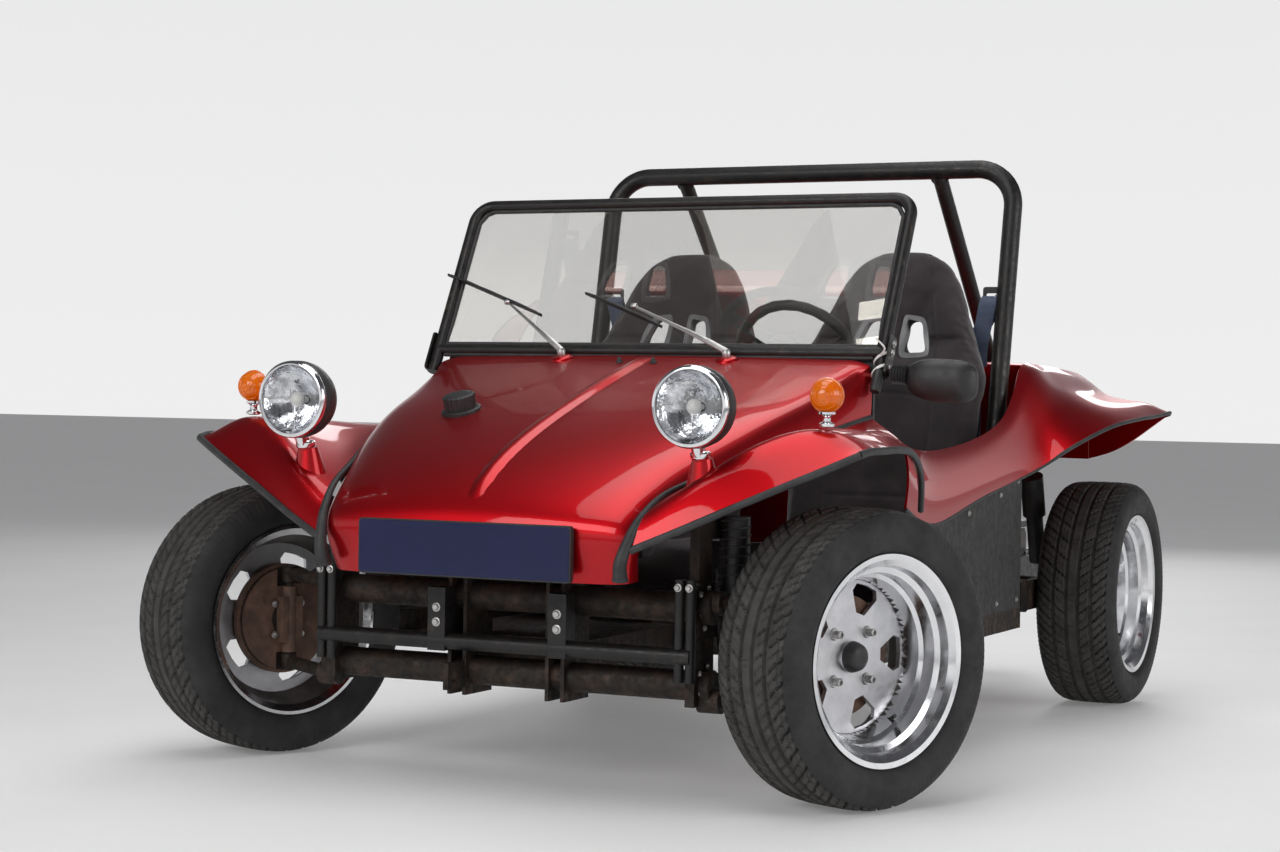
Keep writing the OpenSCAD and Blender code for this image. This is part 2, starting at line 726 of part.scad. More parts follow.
on_axle_frame() floor_pan();
on_axle_frame() front_beam();
on_axle_frame() bumper_bar();
on_axle_frame() number_plate();
on_axle_frame() hood();
on_axle_frame() front_fender();  // front_fender_left
on_axle_frame() mirror([1, 0, 0]) front_fender();  // front_fender_right
on_axle_frame() body_side();  // body_side_left
on_axle_frame() mirror([1, 0, 0]) body_side();  // body_side_right
on_axle_frame() rear_deck();
on_axle_frame() side_panels();
on_axle_frame() dashboard();
on_axle_frame() windshield_frame();
on_axle_frame() windshield_glass();
on_axle_frame() wipers();
on_axle_frame() fuel_cap();
on_axle_frame() fuel_tank();
on_axle_frame() headlights();
on_axle_frame() lamp_stalks();
on_axle_frame() indicators();
on_axle_frame() mirror_head();  // mirror
on_axle_frame() seat(seat_x);  // seat_left
on_axle_frame() seat(-seat_x);  // seat_right
on_axle_frame() seat_belts();
on_axle_frame() roll_bar();
on_axle_frame() steering_column();
on_axle_frame() levers_and_pedals();
on_axle_frame() engine_and_gearbox();
on_axle_frame() exhaust();
on_axle_frame() rear_suspension();
on_axle_frame() shock_absorbers();
on_axle_frame() tail_lights();
on_axle_frame() knuckle(1);  // knuckle_left
on_axle_frame() knuckle(-1);  // knuckle_right
on_axle_frame() steering_wheel();
on_axle_frame() pitman_arm();
on_axle_frame() tie_rods();
on_axle_frame() front_wheel_place(1) tyre();  // tyre_front_left
on_axle_frame() front_wheel_place(-1) tyre();  // tyre_front_right
on_axle_frame() rear_wheel_place(1) tyre();  // tyre_rear_left
on_axle_frame() rear_wheel_place(-1) tyre();  // tyre_rear_right
on_axle_frame() front_wheel_place(1) rim();  // rim_front_left
on_axle_frame() front_wheel_place(-1) rim();  // rim_front_right
on_axle_frame() rear_wheel_place(1) rim();  // rim_rear_left
on_axle_frame() rear_wheel_place(-1) rim();  // rim_rear_right
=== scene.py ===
"""Looks for the dune buggy: materials, trim, tread, lamps, seats, camera and light."""
import math

import bmesh
import bpy
from mathutils import Matrix, Vector
from mathutils.bvhtree import BVHTree


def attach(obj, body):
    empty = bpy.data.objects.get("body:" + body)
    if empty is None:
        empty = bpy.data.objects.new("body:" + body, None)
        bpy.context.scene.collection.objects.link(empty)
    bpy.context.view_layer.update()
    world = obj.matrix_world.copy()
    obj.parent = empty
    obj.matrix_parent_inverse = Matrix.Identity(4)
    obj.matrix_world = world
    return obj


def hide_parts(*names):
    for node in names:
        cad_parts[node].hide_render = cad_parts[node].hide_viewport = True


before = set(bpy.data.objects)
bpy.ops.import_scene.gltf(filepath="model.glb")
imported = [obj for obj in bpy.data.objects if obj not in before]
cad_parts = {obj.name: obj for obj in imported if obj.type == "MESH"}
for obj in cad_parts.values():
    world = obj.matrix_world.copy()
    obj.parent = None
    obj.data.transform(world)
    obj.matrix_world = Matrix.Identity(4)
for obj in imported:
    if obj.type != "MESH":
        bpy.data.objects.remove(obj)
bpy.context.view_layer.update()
AXLE_Y = 1064.0  # millimetres from the row's origin to the front axle, along -Y


def mm(x, y, z):
    """A point in millimetres from the front axle, as metres in the row frame."""
    return Vector((x / 1000, (y - AXLE_Y) / 1000, z / 1000))


# ---------- materials ----------

NOISE_ROUGHNESS = 0.6

def principled(name):
    m = bpy.data.materials.new(name)
    m.use_nodes = True
    nodes, links = m.node_tree.nodes, m.node_tree.links
    return m, nodes, links, nodes["Principled BSDF"]


def noise(nodes, links, scale, detail=6.0):
    """A noise texture in object space."""
    coord = nodes.new("ShaderNodeTexCoord")
    tex = nodes.new("ShaderNodeTexNoise")
    tex.inputs["Scale"].default_value = scale
    tex.inputs["Detail"].default_value = detail
    tex.inputs["Roughness"].default_value = NOISE_ROUGHNESS
    links.new(coord.outputs["Object"], tex.inputs["Vector"])
    return tex


def ramp(nodes, links, source, stops):
    r = nodes.new("ShaderNodeValToRGB")
    r.color_ramp.elements[0].position = stops[0][0]
    r.color_ramp.elements[0].color = (*stops[0][1], 1)
    r.color_ramp.elements[1].position = stops[-1][0]
    r.color_ramp.elements[1].color = (*stops[-1][1], 1)
    for pos, col in stops[1:-1]:
        e = r.color_ramp.elements.new(pos)
        e.color = (*col, 1)
    links.new(source, r.inputs["Fac"])
    return r


def surface(name, stops, rough, metal=0.0, patch=6.0, grain=None, rough_to=None,
            coat=0.0, sheen=0.0, specular=0.5, transmission=0.0, alpha=1.0):
    """A material whose colour runs over stops by a patchy noise, with a fine bump.

    grain is (scale, strength, distance in metres); rough_to makes the roughness patchy too.
    """
    m, nodes, links, p = principled(name)
    tex = noise(nodes, links, patch)
    col = ramp(nodes, links, tex.outputs["Fac"], stops)
    links.new(col.outputs["Color"], p.inputs["Base Color"])
    p.inputs["Metallic"].default_value = metal
    p.inputs["Roughness"].default_value = rough
    p.inputs["Specular IOR Level"].default_value = specular
    p.inputs["Coat Weight"].default_value = coat
    p.inputs["Coat Roughness"].default_value = 0.04
    p.inputs["Sheen Weight"].default_value = sheen
    p.inputs["Transmission Weight"].default_value = transmission
    p.inputs["Alpha"].default_value = alpha
    if rough_to is not None:
        fine = noise(nodes, links, patch * 3)
        r = nodes.new("ShaderNodeMapRange")
        r.inputs["From Min"].default_value = 0.35
        r.inputs["From Max"].default_value = 0.65
        r.inputs["To Min"].default_value = rough
        r.inputs["To Max"].default_value = rough_to
        links.new(fine.outputs["Fac"], r.inputs["Value"])
        links.new(r.outputs["Result"], p.inputs["Roughness"])
    if grain:
        scale, strength, distance = grain
        g = noise(nodes, links, scale, 3.0)
        b = nodes.new("ShaderNodeBump")
        b.inputs["Strength"].default_value = strength
        b.inputs["Distance"].default_value = distance
        links.new(g.outputs["Fac"], b.inputs["Height"])
        links.new(b.outputs["Normal"], p.inputs["Normal"])
    return m


RED = surface("red_metallic_paint", [(0.2, (0.40, 0.0006, 0.004)), (0.8, (0.52, 0.001, 0.007))],
              0.40, metal=0.90, patch=900, grain=(1400, 0.05, 0.0004), coat=0.55)
BLACK = surface("worn_black_paint",
                [(0.3, (0.008, 0.008, 0.008)), (0.62, (0.018, 0.016, 0.015)),
                 (0.8, (0.065, 0.046, 0.034))],
                0.28, metal=0.25, patch=26, grain=(160, 0.3, 0.0015), rough_to=0.55)
RUST = surface("oily_rusty_steel",
               [(0.25, (0.010, 0.009, 0.008)), (0.5, (0.026, 0.019, 0.015)),
                (0.68, (0.060, 0.036, 0.024)), (0.85, (0.13, 0.075, 0.045))],
               0.45, metal=0.35, patch=26, grain=(220, 0.5, 0.002), rough_to=0.85)
DRUM = surface("rusty_brake_drum",
               [(0.25, (0.06, 0.038, 0.03)), (0.55, (0.15, 0.085, 0.06)),
                (0.85, (0.26, 0.15, 0.10))], 0.7, metal=0.2, patch=30, grain=(300, 0.5, 0.002))
RUBBER = surface("tyre_rubber", [(0.3, (0.018, 0.018, 0.019)), (0.75, (0.040, 0.039, 0.038))],
                 0.62, patch=14, grain=(700, 0.25, 0.0006), rough_to=0.8, specular=0.35)
TREAD = surface("dusty_tread_rubber", [(0.3, (0.035, 0.034, 0.032)), (0.75, (0.085, 0.080, 0.073))],
                0.75, patch=26, grain=(700, 0.3, 0.0006), rough_to=0.9, specular=0.3)
TRIM = surface("edge_rubber", [(0.3, (0.015, 0.015, 0.016)), (0.75, (0.045, 0.045, 0.047))],
               0.55, patch=30, grain=(500, 0.3, 0.0006))
ALLOY = surface("polished_alloy", [(0.3, (0.78, 0.79, 0.81)), (0.75, (0.90, 0.90, 0.91))],
                0.10, metal=1.0, patch=20, grain=(60, 0.04, 0.001), rough_to=0.22)
CAST = surface("cast_alloy", [(0.3, (0.52, 0.52, 0.54)), (0.75, (0.68, 0.68, 0.70))],
               0.32, metal=1.0, patch=26, grain=(420, 0.25, 0.0006), rough_to=0.5)
DARK_CAST = surface("dark_cast_alloy", [(0.3, (0.05, 0.045, 0.042)), (0.75, (0.16, 0.14, 0.13))],
                    0.55, metal=0.6, patch=16, grain=(300, 0.4, 0.001))
CHROME = surface("chrome", [(0.3, (0.80, 0.80, 0.82)), (0.75, (0.90, 0.90, 0.92))],
                 0.06, metal=1.0, patch=18, grain=(50, 0.02, 0.0008), rough_to=0.14)
PLASTIC = surface("grained_black_plastic",
                  [(0.3, (0.014, 0.014, 0.015)), (0.75, (0.030, 0.030, 0.031))],
                  0.42, patch=20, grain=(900, 0.35, 0.0005), rough_to=0.55)
GREY_PLASTIC = surface("grey_plastic", [(0.3, (0.16, 0.16, 0.17)), (0.75, (0.26, 0.26, 0.27))],
                       0.4, patch=20, grain=(800, 0.2, 0.0004))
BITUMEN = surface("bitumen_coat", [(0.3, (0.010, 0.010, 0.010)), (0.75, (0.034, 0.032, 0.030))],
                  0.5, patch=18, grain=(110, 0.7, 0.003), rough_to=0.75)
NAVY = surface("blank_plate_blue", [(0.3, (0.006, 0.009, 0.050)), (0.75, (0.009, 0.013, 0.064))],
               0.35, patch=10, grain=(500, 0.05, 0.0003), coat=0.15, specular=0.3)
AMBER = surface("amber_lens", [(0.3, (1.0, 0.17, 0.0)), (0.75, (1.0, 0.27, 0.0))],
                0.14, patch=12, grain=(90, 0.25, 0.001), transmission=0.25, coat=0.3)
RED_LENS = surface("red_lens", [(0.3, (0.55, 0.01, 0.01)), (0.75, (0.68, 0.02, 0.015))],
                   0.16, patch=12, grain=(90, 0.25, 0.001), transmission=0.3, coat=0.6)
GLASS = surface("screen_glass", [(0.3, (0.80, 0.73, 0.56)), (0.75, (0.83, 0.77, 0.60))],
                0.01, patch=8, transmission=1.0, alpha=0.26, specular=0.06)
LENS = surface("lamp_glass", [(0.3, (0.97, 0.98, 1.0)), (0.75, (1.0, 1.0, 1.0))],
               0.02, patch=8, transmission=1.0, alpha=0.12, specular=0.25)
# The reflector's colour runs in darker and lighter patches, which are painted reflections rather
# than a finish of its own.
REFLECTOR_PAINTED_REFLECTIONS = surface("reflector_painted_reflections", [(0.38, (0.42, 0.43, 0.45)), (0.60, (0.86, 0.87, 0.90))],
                    0.05, metal=1.0, patch=42, grain=(30, 0.5, 0.006))
BULB = surface("bulb_glass", [(0.3, (0.55, 0.55, 0.52)), (0.75, (0.75, 0.75, 0.72))], 0.1, patch=20,
               coat=0.5)
MIRROR = surface("mirror_glass", [(0.3, (0.85, 0.87, 0.88)), (0.75, (0.9, 0.92, 0.93))],
                 0.02, metal=1.0, patch=8)
STEEL = surface("bright_steel", [(0.3, (0.42, 0.41, 0.40)), (0.75, (0.60, 0.59, 0.58))],
                0.3, metal=1.0, patch=40, grain=(300, 0.2, 0.0005), rough_to=0.5)
CLOTH = surface("brushed_cloth", [(0.25, (0.018, 0.014, 0.015)), (0.55, (0.036, 0.028, 0.030)),
                                  (0.8, (0.060, 0.048, 0.050))],
                0.85, patch=9, grain=(1300, 0.5, 0.0008), sheen=0.35, specular=0.2)
TIE = surface("white_plastic_tie", [(0.3, (0.75, 0.75, 0.73)), (0.75, (0.85, 0.85, 0.83))],
              0.4, patch=20)
DIAL = surface("dial_face", [(0.3, (0.012, 0.012, 0.014)), (0.75, (0.02, 0.02, 0.022))],
               0.35, patch=20)


def webbing():
    """Woven belt: fine diagonal ribs in the bump, faded blue-grey in the colour."""
    m, nodes, links, p = principled("belt_webbing")
    tex = noise(nodes, links, 30)
    col = ramp(nodes, links, tex.outputs["Fac"],
               [(0.3, (0.055, 0.075, 0.13)), (0.75, (0.11, 0.14, 0.21))])
    links.new(col.outputs["Color"], p.inputs["Base Color"])
    p.inputs["Roughness"].default_value = 0.75
    p.inputs["Sheen Weight"].default_value = 0.2
    coord = nodes.new("ShaderNodeTexCoord")
    wave = nodes.new("ShaderNodeTexWave")
    wave.bands_direction = "DIAGONAL"
    wave.inputs["Scale"].default_value = 220
    links.new(coord.outputs["Object"], wave.inputs["Vector"])
    b = nodes.new("ShaderNodeBump")
    b.inputs["Strength"].default_value = 0.5
    b.inputs["Distance"].default_value = 0.0006
    links.new(wave.outputs["Fac"], b.inputs["Height"])
    links.new(b.outputs["Normal"], p.inputs["Normal"])
    return m


WEBBING = webbing()

# ---------- mesh building ----------


def catmull(points, steps):
    """Points along a smooth open line through the given ones."""
    pts = [Vector(p) for p in points]
    n = len(pts)
    out = []
    for i in range(n - 1):
        a, b, c, d = pts[max(i - 1, 0)], pts[i], pts[i + 1], pts[min(i + 2, n - 1)]
        for k in range(steps):
            t = k / steps
            out.append(0.5 * (2 * b + (c - a) * t + (2 * a - 5 * b + 4 * c - d) * t * t
                              + (3 * b - a - 3 * c + d) * t ** 3))
    out.append(pts[-1])
    return out


def basis(axis):
    """Two unit vectors square to axis."""
    axis = axis.normalized()
    side = axis.cross(Vector((0, 0, 1)))
    if side.length < 1e-3:
        side = axis.cross(Vector((0, 1, 0)))
    side.normalize()
    return side, axis.cross(side).normalized()


class Piece:
    """Gathers shapes into one mesh; every length is in metres and every place in the row frame."""

    def __init__(self):
        self.verts, self.faces, self.mats = [], [], []

    def add(self, verts, faces, mat=0):
        base = len(self.verts)
        self.verts += [tuple(v) for v in verts]
        self.faces += [[base + i for i in f] for f in faces]
        self.mats += [mat] * len(faces)

    def grid(self, rows, mat=0, wrap_cols=False, wrap_rows=False):
        n, m = len(rows), len(rows[0])
        verts = [p for r in rows for p in r]
        faces = []
        for i in range(n if wrap_rows else n - 1):
            for j in range(m if wrap_cols else m - 1):
                a, b = i * m + j, i * m + (j + 1) % m
                c, d = ((i + 1) % n) * m + (j + 1) % m, ((i + 1) % n) * m + j
                faces.append([a, b, c, d])
        self.add(verts, faces, mat)

    def lathe(self, profile, at, axis, n=48, mat=0, ripple=None, caps=True):
        """profile is (radius, distance along axis) in mm; ripple(angle, k) scales a radius."""
        axis = Vector(axis).normalized()
        u, v = basis(axis)
        rows = []
        for k, (r, h) in enumerate(profile):
            row = []
            for i in range(n):
                a = 2 * math.pi * i / n
                rr = r * (ripple(a, k) if ripple else 1)
                row.append(at + (u * math.cos(a) + v * math.sin(a)) * rr / 1000 + axis * h / 1000)
            rows.append(row)
        self.grid(rows, mat, wrap_cols=True)
        for row, flip in ((rows[0], True), (rows[-1], False)) if caps else ():
            self.add(row, [list(range(n))[::-1] if flip else list(range(n))], mat)

    def tube(self, points, r, n=12, mat=0, closed=False, flat=1.0, up=None):
        """A tube of radius r (mm, or a list) along points; flat squeezes it along up."""
        pts = [Vector(p) for p in points]
        count = len(pts)
        rows = []
        side = None
        for i, p in enumerate(pts):
            if closed:
                d = pts[(i + 1) % count] - pts[i - 1]
            else:
                d = pts[min(i + 1, count - 1)] - pts[max(i - 1, 0)]
            d.normalize()
            if up is not None:
                w = (Vector(up) - d * d.dot(Vector(up))).normalized()
                side = d.cross(w).normalized()
            else:
                if side is None:
                    side = basis(d)[0]
                side = (side - d * side.dot(d)).normalized()
                w = d.cross(side)
            rr = (r[i] if isinstance(r, (list, tuple)) else r) / 1000
            rows.append([p + side * math.cos(2 * math.pi * k / n) * rr
                         + w * math.sin(2 * math.pi * k / n) * rr * flat for k in range(n)])
        self.grid(rows, mat, wrap_cols=True, wrap_rows=closed)
        if not closed:
            self.add(rows[0], [list(range(n))[::-1]], mat)
            self.add(rows[-1], [list(range(n))], mat)

    def strip(self, points, widths, normals, thick, mat=0):
        """A flat strap: points and the unit width and normal directions, sizes in mm."""
        rows = []
        for p, w, nrm in zip(points, widths, normals):
            a, t = Vector(w), Vector(nrm).normalized() * thick / 2000
            rows.append([p - a + t, p - a * 0.5 + t, p + a * 0.5 + t, p + a + t,
                         p + a - t, p + a * 0.5 - t, p - a * 0.5 - t, p - a - t])
        self.grid(rows, mat, wrap_cols=True)
        self.add(rows[0], [list(range(8))[::-1]], mat)
        self.add(rows[-1], [list(range(8))], mat)

    def plate(self, outline, at, xdir, ydir, thick, mat=0, hole=None):
        """A flat plate: outline in mm in the plane of xdir and ydir, centred in its thickness."""
        xdir, ydir = Vector(xdir).normalized(), Vector(ydir).normalized()
        nrm = xdir.cross(ydir)

        def ring(points, s):
            return [at + xdir * x / 1000 + ydir * y / 1000 + nrm * s * thick / 2000
                    for x, y in points]
        n = len(outline)
        if hole is None:
            self.add(ring(outline, 1) + ring(outline, -1),
                     [list(range(n)), list(range(2 * n - 1, n - 1, -1))]
                     + [[i + n, (i + 1) % n + n, (i + 1) % n, i] for i in range(n)], mat)
            return
        verts = ring(outline, 1) + ring(outline, -1) + ring(hole, 1) + ring(hole, -1)
        faces = []
        for i in range(n):
            j = (i + 1) % n
            faces += [[i, j, 2 * n + j, 2 * n + i], [n + j, n + i, 3 * n + i, 3 * n + j],
                      [i + n, j + n, j, i], [2 * n + i, 2 * n + j, 3 * n + j, 3 * n + i]]
        self.add(verts, faces, mat)

    def box(self, lo, hi, mat=0):
        (a, b, c), (d, e, f) = lo, hi
        verts = [mm(x, y, z) for x in (a, d) for y in (b, e) for z in (c, f)]
        self.add(verts, [[0, 1, 3, 2], [4, 6, 7, 5], [0, 4, 5, 1], [2, 3, 7, 6],
                         [0, 2, 6, 4], [1, 5, 7, 3]], mat)

    def bolt(self, at, axis, r=7, h=6, mat=0):
        """A hexagon head on a washer."""
        axis = Vector(axis).normalized()
        self.lathe([(r * 1.35, 0), (r * 1.35, 1.2), (r * 1.25, 1.6)], at, axis, 20, mat)
        self.lathe([(r, 1.2), (r, h * 0.85), (r * 0.86, h)], at, axis, 6, mat)

    def make(self, name, mats, body="chassis", slot=None, bevel=0.0, angle=35):
        mesh = bpy.data.meshes.new(name)
        mesh.from_pydata(self.verts, [], self.faces)
        for i, f in enumerate(mesh.polygons):
            f.material_index = self.mats[i]
        bm = bmesh.new()
        bm.from_mesh(mesh)
        bmesh.ops.remove_doubles(bm, verts=bm.verts, dist=2e-5)
        bmesh.ops.recalc_face_normals(bm, faces=bm.faces)
        bm.to_mesh(mesh)
        bm.free()
        for m in mats:
            mesh.materials.append(m)
        obj = bpy.data.objects.new(name, mesh)
        bpy.context.collection.objects.link(obj)
        if bevel:
            mod = obj.modifiers.new("edge", "BEVEL")
            mod.width = bevel
            mod.segments = 2
            mod.limit_method = "ANGLE"
            mod.angle_limit = math.radians(40)
        shade(obj, angle)
        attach(obj, body)
        return obj


def shade(obj, angle=35):
    obj.data.shade_smooth()
    obj.data.set_sharp_from_angle(angle=math.radians(angle))


CORNER_STEPS = 5


def rounded(w, h, r):
    """The outline of a rectangle w by h with corners of radius r."""
    out = []
    for cx, cy, a0 in ((w / 2 - r, h / 2 - r, 0), (r - w / 2, h / 2 - r, 90),
                       (r - w / 2, r - h / 2, 180), (w / 2 - r, r - h / 2, 270)):
        for i in range(CORNER_STEPS + 1):
            a = math.radians(a0 + 90 * i / CORNER_STEPS)
            out.append((cx + r * math.cos(a), cy + r * math.sin(a)))
    return out


def surface_of(obj):
    """A search tree of an object's own mesh, modifiers included."""
    return BVHTree.FromObject(obj, bpy.context.evaluated_depsgraph_get())


ABOVE_ALL = 1200  # millimetres above the ground, over every body panel


def drop(tree, x, y):
    """The point and normal straight below on a surface, x and y in mm from the axle."""
    hit, nrm, _, _ = tree.ray_cast(mm(x, y, ABOVE_ALL), Vector((0, 0, -1)))
    return hit, nrm


def circle(centre, r, y):
    """40 points round centre in an upright plane; r and the plane's distance y are in mm."""
    return [centre + Vector((r * math.cos(t), y, r * math.sin(t))) / 1000
            for t in [2 * math.pi * i / 40 for i in range(40)]]


# ---------- finishes on the CAD parts ----------

FINISH = {
    "floor_pan": RUST, "front_beam": RUST, "bumper_bar": BLACK, "side_panels": BITUMEN,
    "dashboard": PLASTIC, "windshield_frame": BLACK, "windshield_glass": GLASS,
    "fuel_tank": BLACK, "lamp_stalks": RED, "roll_bar": BLACK, "steering_column": BLACK,
    "levers_and_pedals": BLACK, "engine_and_gearbox": DARK_CAST, "exhaust": RUST,
    "rear_suspension": RUST, "shock_absorbers": BLACK, "knuckle_left": DRUM,
    "knuckle_right": DRUM, "pitman_arm": RUST, "tie_rods": RUST,
    "rim_front_left": ALLOY, "rim_front_right": ALLOY, "rim_rear_left": ALLOY,
    "rim_rear_right": ALLOY, "number_plate": PLASTIC, "hood": RED, "rear_deck": RED,
    "front_fender_left": RED, "front_fender_right": RED, "body_side_left": RED,
    "body_side_right": RED, "wipers": PLASTIC, "fuel_cap": PLASTIC, "headlights": CHROME,
    "indicators": AMBER, "mirror": PLASTIC, "seat_left": CLOTH, "seat_right": CLOTH,
    "seat_belts": WEBBING, "tail_lights": RED_LENS, "steering_wheel": PLASTIC,
    "tyre_front_left": RUBBER, "tyre_front_right": RUBBER, "tyre_rear_left": RUBBER,
    "tyre_rear_right": RUBBER,
}
for node, finish in FINISH.items():
    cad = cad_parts[node]
    cad.data.materials.clear()
    cad.data.materials.append(finish)


def refined(node, name, levels=1):
    """A finer, smoother copy of a moulded panel, standing for its CAD solid."""
    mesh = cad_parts[node].data.copy()
    mesh.name = name
    obj = bpy.data.objects.new(name, mesh)
    bpy.context.collection.objects.link(obj)
    bm = bmesh.new()
    bm.from_mesh(mesh)
    bmesh.ops.remove_doubles(bm, verts=bm.verts, dist=1e-5)
    bmesh.ops.join_triangles(bm, faces=bm.faces, angle_face_threshold=math.radians(60),
                             angle_shape_threshold=math.radians(80))
    crease = bm.edges.layers.float.get("crease_edge") or bm.edges.layers.float.new("crease_edge")
    for e in bm.edges:
        if len(e.link_faces) == 2 and e.calc_face_angle() > math.radians(48):
            e[crease] = 1.0
    bm.to_mesh(mesh)
    bm.free()
    if mesh.has_custom_normals:
        bpy.context.view_layer.objects.active = obj
        bpy.ops.mesh.customdata_custom_splitnormals_clear()
    mod = obj.modifiers.new("smooth", "SUBSURF")
    mod.levels = mod.render_levels = levels
    shade(obj, 48)
    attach(obj, "chassis")
    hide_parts(node)
    return obj


hood = refined("hood", "hood_panel", 2)
for solid, panel in (("front_fender_", "fender_panel_"), ("body_side_", "side_panel_")):
    for word in ("left", "right"):
        refined(solid + word, panel + word)
refined("rear_deck", "deck_panel")
hood_tree = surface_of(hood)

# The spear along the middle of the hood
spear = Piece()
rows = []
for y in [-322, -318, -300, -270, -230] + list(range(-190, 470, 30)) + [466]:
    hit, nrm = drop(hood_tree, 0, y)
    swell = min(1.0, (y + 322) / 60, (470 - y) / 40)
    row = []
    for k in range(-6, 7):
        x = k * 4.2
        up = 8.5 * swell * math.cos(math.pi * k / 12.5) ** 1.5 - 1.0
        foot, _ = drop(hood_tree, x, y)
        row.append(foot + nrm * up / 1000)
    rows.append(row)
spear.grid(rows)
spear.make("hood_spear", [RED], slot="red_paint", angle=60)

BEAD = [(334, -330, 446), (337, -336, 478), (346, -320, 520), (357, -292, 560), (378, -225, 606),
        (418, -100, 642), (474, 60, 681), (510, 210, 712), (531, 340, 738), (548, 440, 756)]
LIP = [(758, -172, 690), (764, -128, 696), (768, -60, 697), (768, 15, 698), (762, 100, 692),
       (742, 205, 668), (722, 285, 630), (704, 336, 566)]
FRONT_EDGE = [(352, -325, 500), (440, -296, 540), (530, -262, 583), (620, -228, 625),
              (700, -196, 662), (758, -172, 690)]
SIDE_LIP = [(652, 385, 566), (642, 505, 535), (634, 660, 524), (634, 940, 568),
            (641, 1186, 603), (668, 1322, 636), (730, 1420, 692), (782, 1550, 736),
            (808, 1735, 756), (813, 1872, 762), (817, 1960, 769), (817, 2005, 772),
            (806, 2034, 767)]
for side, word in ((1, "left"), (-1, "right")):
    def mirrored(points, dx=0.0):
        return [mm(side * (x + dx), y, z) for x, y, z in points]
    bead = Piece()
    line = catmull(mirrored(BEAD), 8)
    bead.tube(line, [15 - 8.5 * min(1, i / (0.45 * len(line))) for i in range(len(line))], 14)
    bead.lathe([(15, -2), (16, 0), (16, 4), (11, 5), (10, -6)], mirrored(BEAD)[0],
               mirrored(BEAD)[0] - mirrored(BEAD)[1], 20)
    bead.make("fender_bead_" + word, [TRIM], slot="black_plastic", angle=80)
    edge = Piece()
    edge.tube(catmull(mirrored(FRONT_EDGE, -1), 6), 6.5, 10, flat=1.2)
    edge.tube(catmull(mirrored(LIP, -3), 6), 6.5, 10, flat=1.2)
    edge.tube(catmull(mirrored(SIDE_LIP, -3), 6), 5, 8)
    edge.make("lip_rubber_" + word, [TRIM], slot="black_plastic", angle=80)

# ---------- number plate ----------
plate = Piece()
AT = mm(0, -351, 489)
plate.plate(rounded(470, 104, 5), AT, (1, 0, 0), (0, 0, 1), 5, 0)
plate.plate(rounded(476, 110, 7), AT + Vector((0, 0.006, 0)), (1, 0, 0), (0, 0, 1), 14, 1)
plate.plate(rounded(474, 108, 6), AT + Vector((0, 0.001, 0)), (1, 0, 0), (0, 0, 1), 3, 2)
for sx in (-1, 1):
    plate.box((sx * 150 - 12, -343, 470), (sx * 150 + 12, -332, 490), 1)
plate_obj = plate.make("number_plate_blank", [NAVY, PLASTIC, CHROME], slot="plate_blue",
                       bevel=0.0008)
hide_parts("number_plate")

# ---------- headlights, indicators, tail lights ----------
LAMP_X, BLINKER_X = 450, 662  # millimetres each side of the middle
lamps = Piece()
FORWARD = Vector((0, -1, 0))
for sx in (-1, 1):
    c = mm(sx * LAMP_X, -285, 776)
    # bucket behind, rim, reflector bowl, lens and bulb
    lamps.lathe([(72, -14), (78, -14), (80, -18), (80, -34), (77, -52), (70, -68), (56, -83),
                 (34, -93), (12, -96), (0.01, -96)], c, FORWARD, 64, 0, caps=False)
    lamps.lathe([(70, -3), (71, 0), (75, 0.5), (79, -3), (80, -9), (79, -16), (76, -18), (72, -14),
                 (70, -6), (70, -3)], c, FORWARD, 64, 1, caps=False)
    bowl = [(71 - 62 * (k / 14) ** 0.8, -6 - 54 * (k / 14) ** 0.55) for k in range(15)]
    # the bowl's colour carries painted reflections
    lamps.lathe(bowl, c, FORWARD, 64, 2, caps=False)
    lens_rows = []
    for k, (r, h) in enumerate([(70.5, -3), (62, -1), (50, 1.5), (36, 3.2), (20, 4.3), (6, 4.6),
                                (0.01, 4.6)]):
        lens_rows.append((r, h - 5))
    lamps.lathe(lens_rows, c, FORWARD, 64, 3, caps=False)
    # fine vertical flutes in the lower half of the lens, bulb and its shade
    for k in range(-5, 6):
        x = k * 11.0
        foot = -math.sqrt(58 ** 2 - x * x)
        pts = [c + Vector((x, 2.6 + 5.2 * (x * x + z * z) / 4900 - 2.0, z)) / 1000
               for z in [foot + (4 - foot) * j / 8 for j in range(9)]]
        lamps.tube(pts, 1.3, 6, 3, flat=0.4, up=(0, 1, 0))
    lamps.lathe([(7, -60), (7, -38), (14, -34), (16, -26), (13, -19), (6, -15), (0.01, -14)], c,
                FORWARD, 24, 4)
    lamps.tube([c + Vector((0, 0.016, -0.012)), c + Vector((0, 0.02, -0.05))], 1.2, 6, 1)
    # clamp, post and its nuts
    lamps.tube([mm(sx * LAMP_X, -246, 706), mm(sx * LAMP_X, -240, 690),
                mm(sx * LAMP_X, -230, 678)], 11, 16, 1)
    lamps.lathe([(17, 0), (20, 3), (20, 12), (16, 15)], mm(sx * LAMP_X, -224, 676), (0, -0.14, 1),
                32, 1)
    lamps.lathe([(13, 0), (14, 2), (14, 12), (11, 14)], mm(sx * LAMP_X, -232, 690), (0, -0.14, 1),
                6, 1)
lamp_obj = lamps.make("headlamps", [PLASTIC, CHROME, REFLECTOR_PAINTED_REFLECTIONS, LENS, BULB], slot="chrome",
                      angle=50)
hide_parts("headlights")

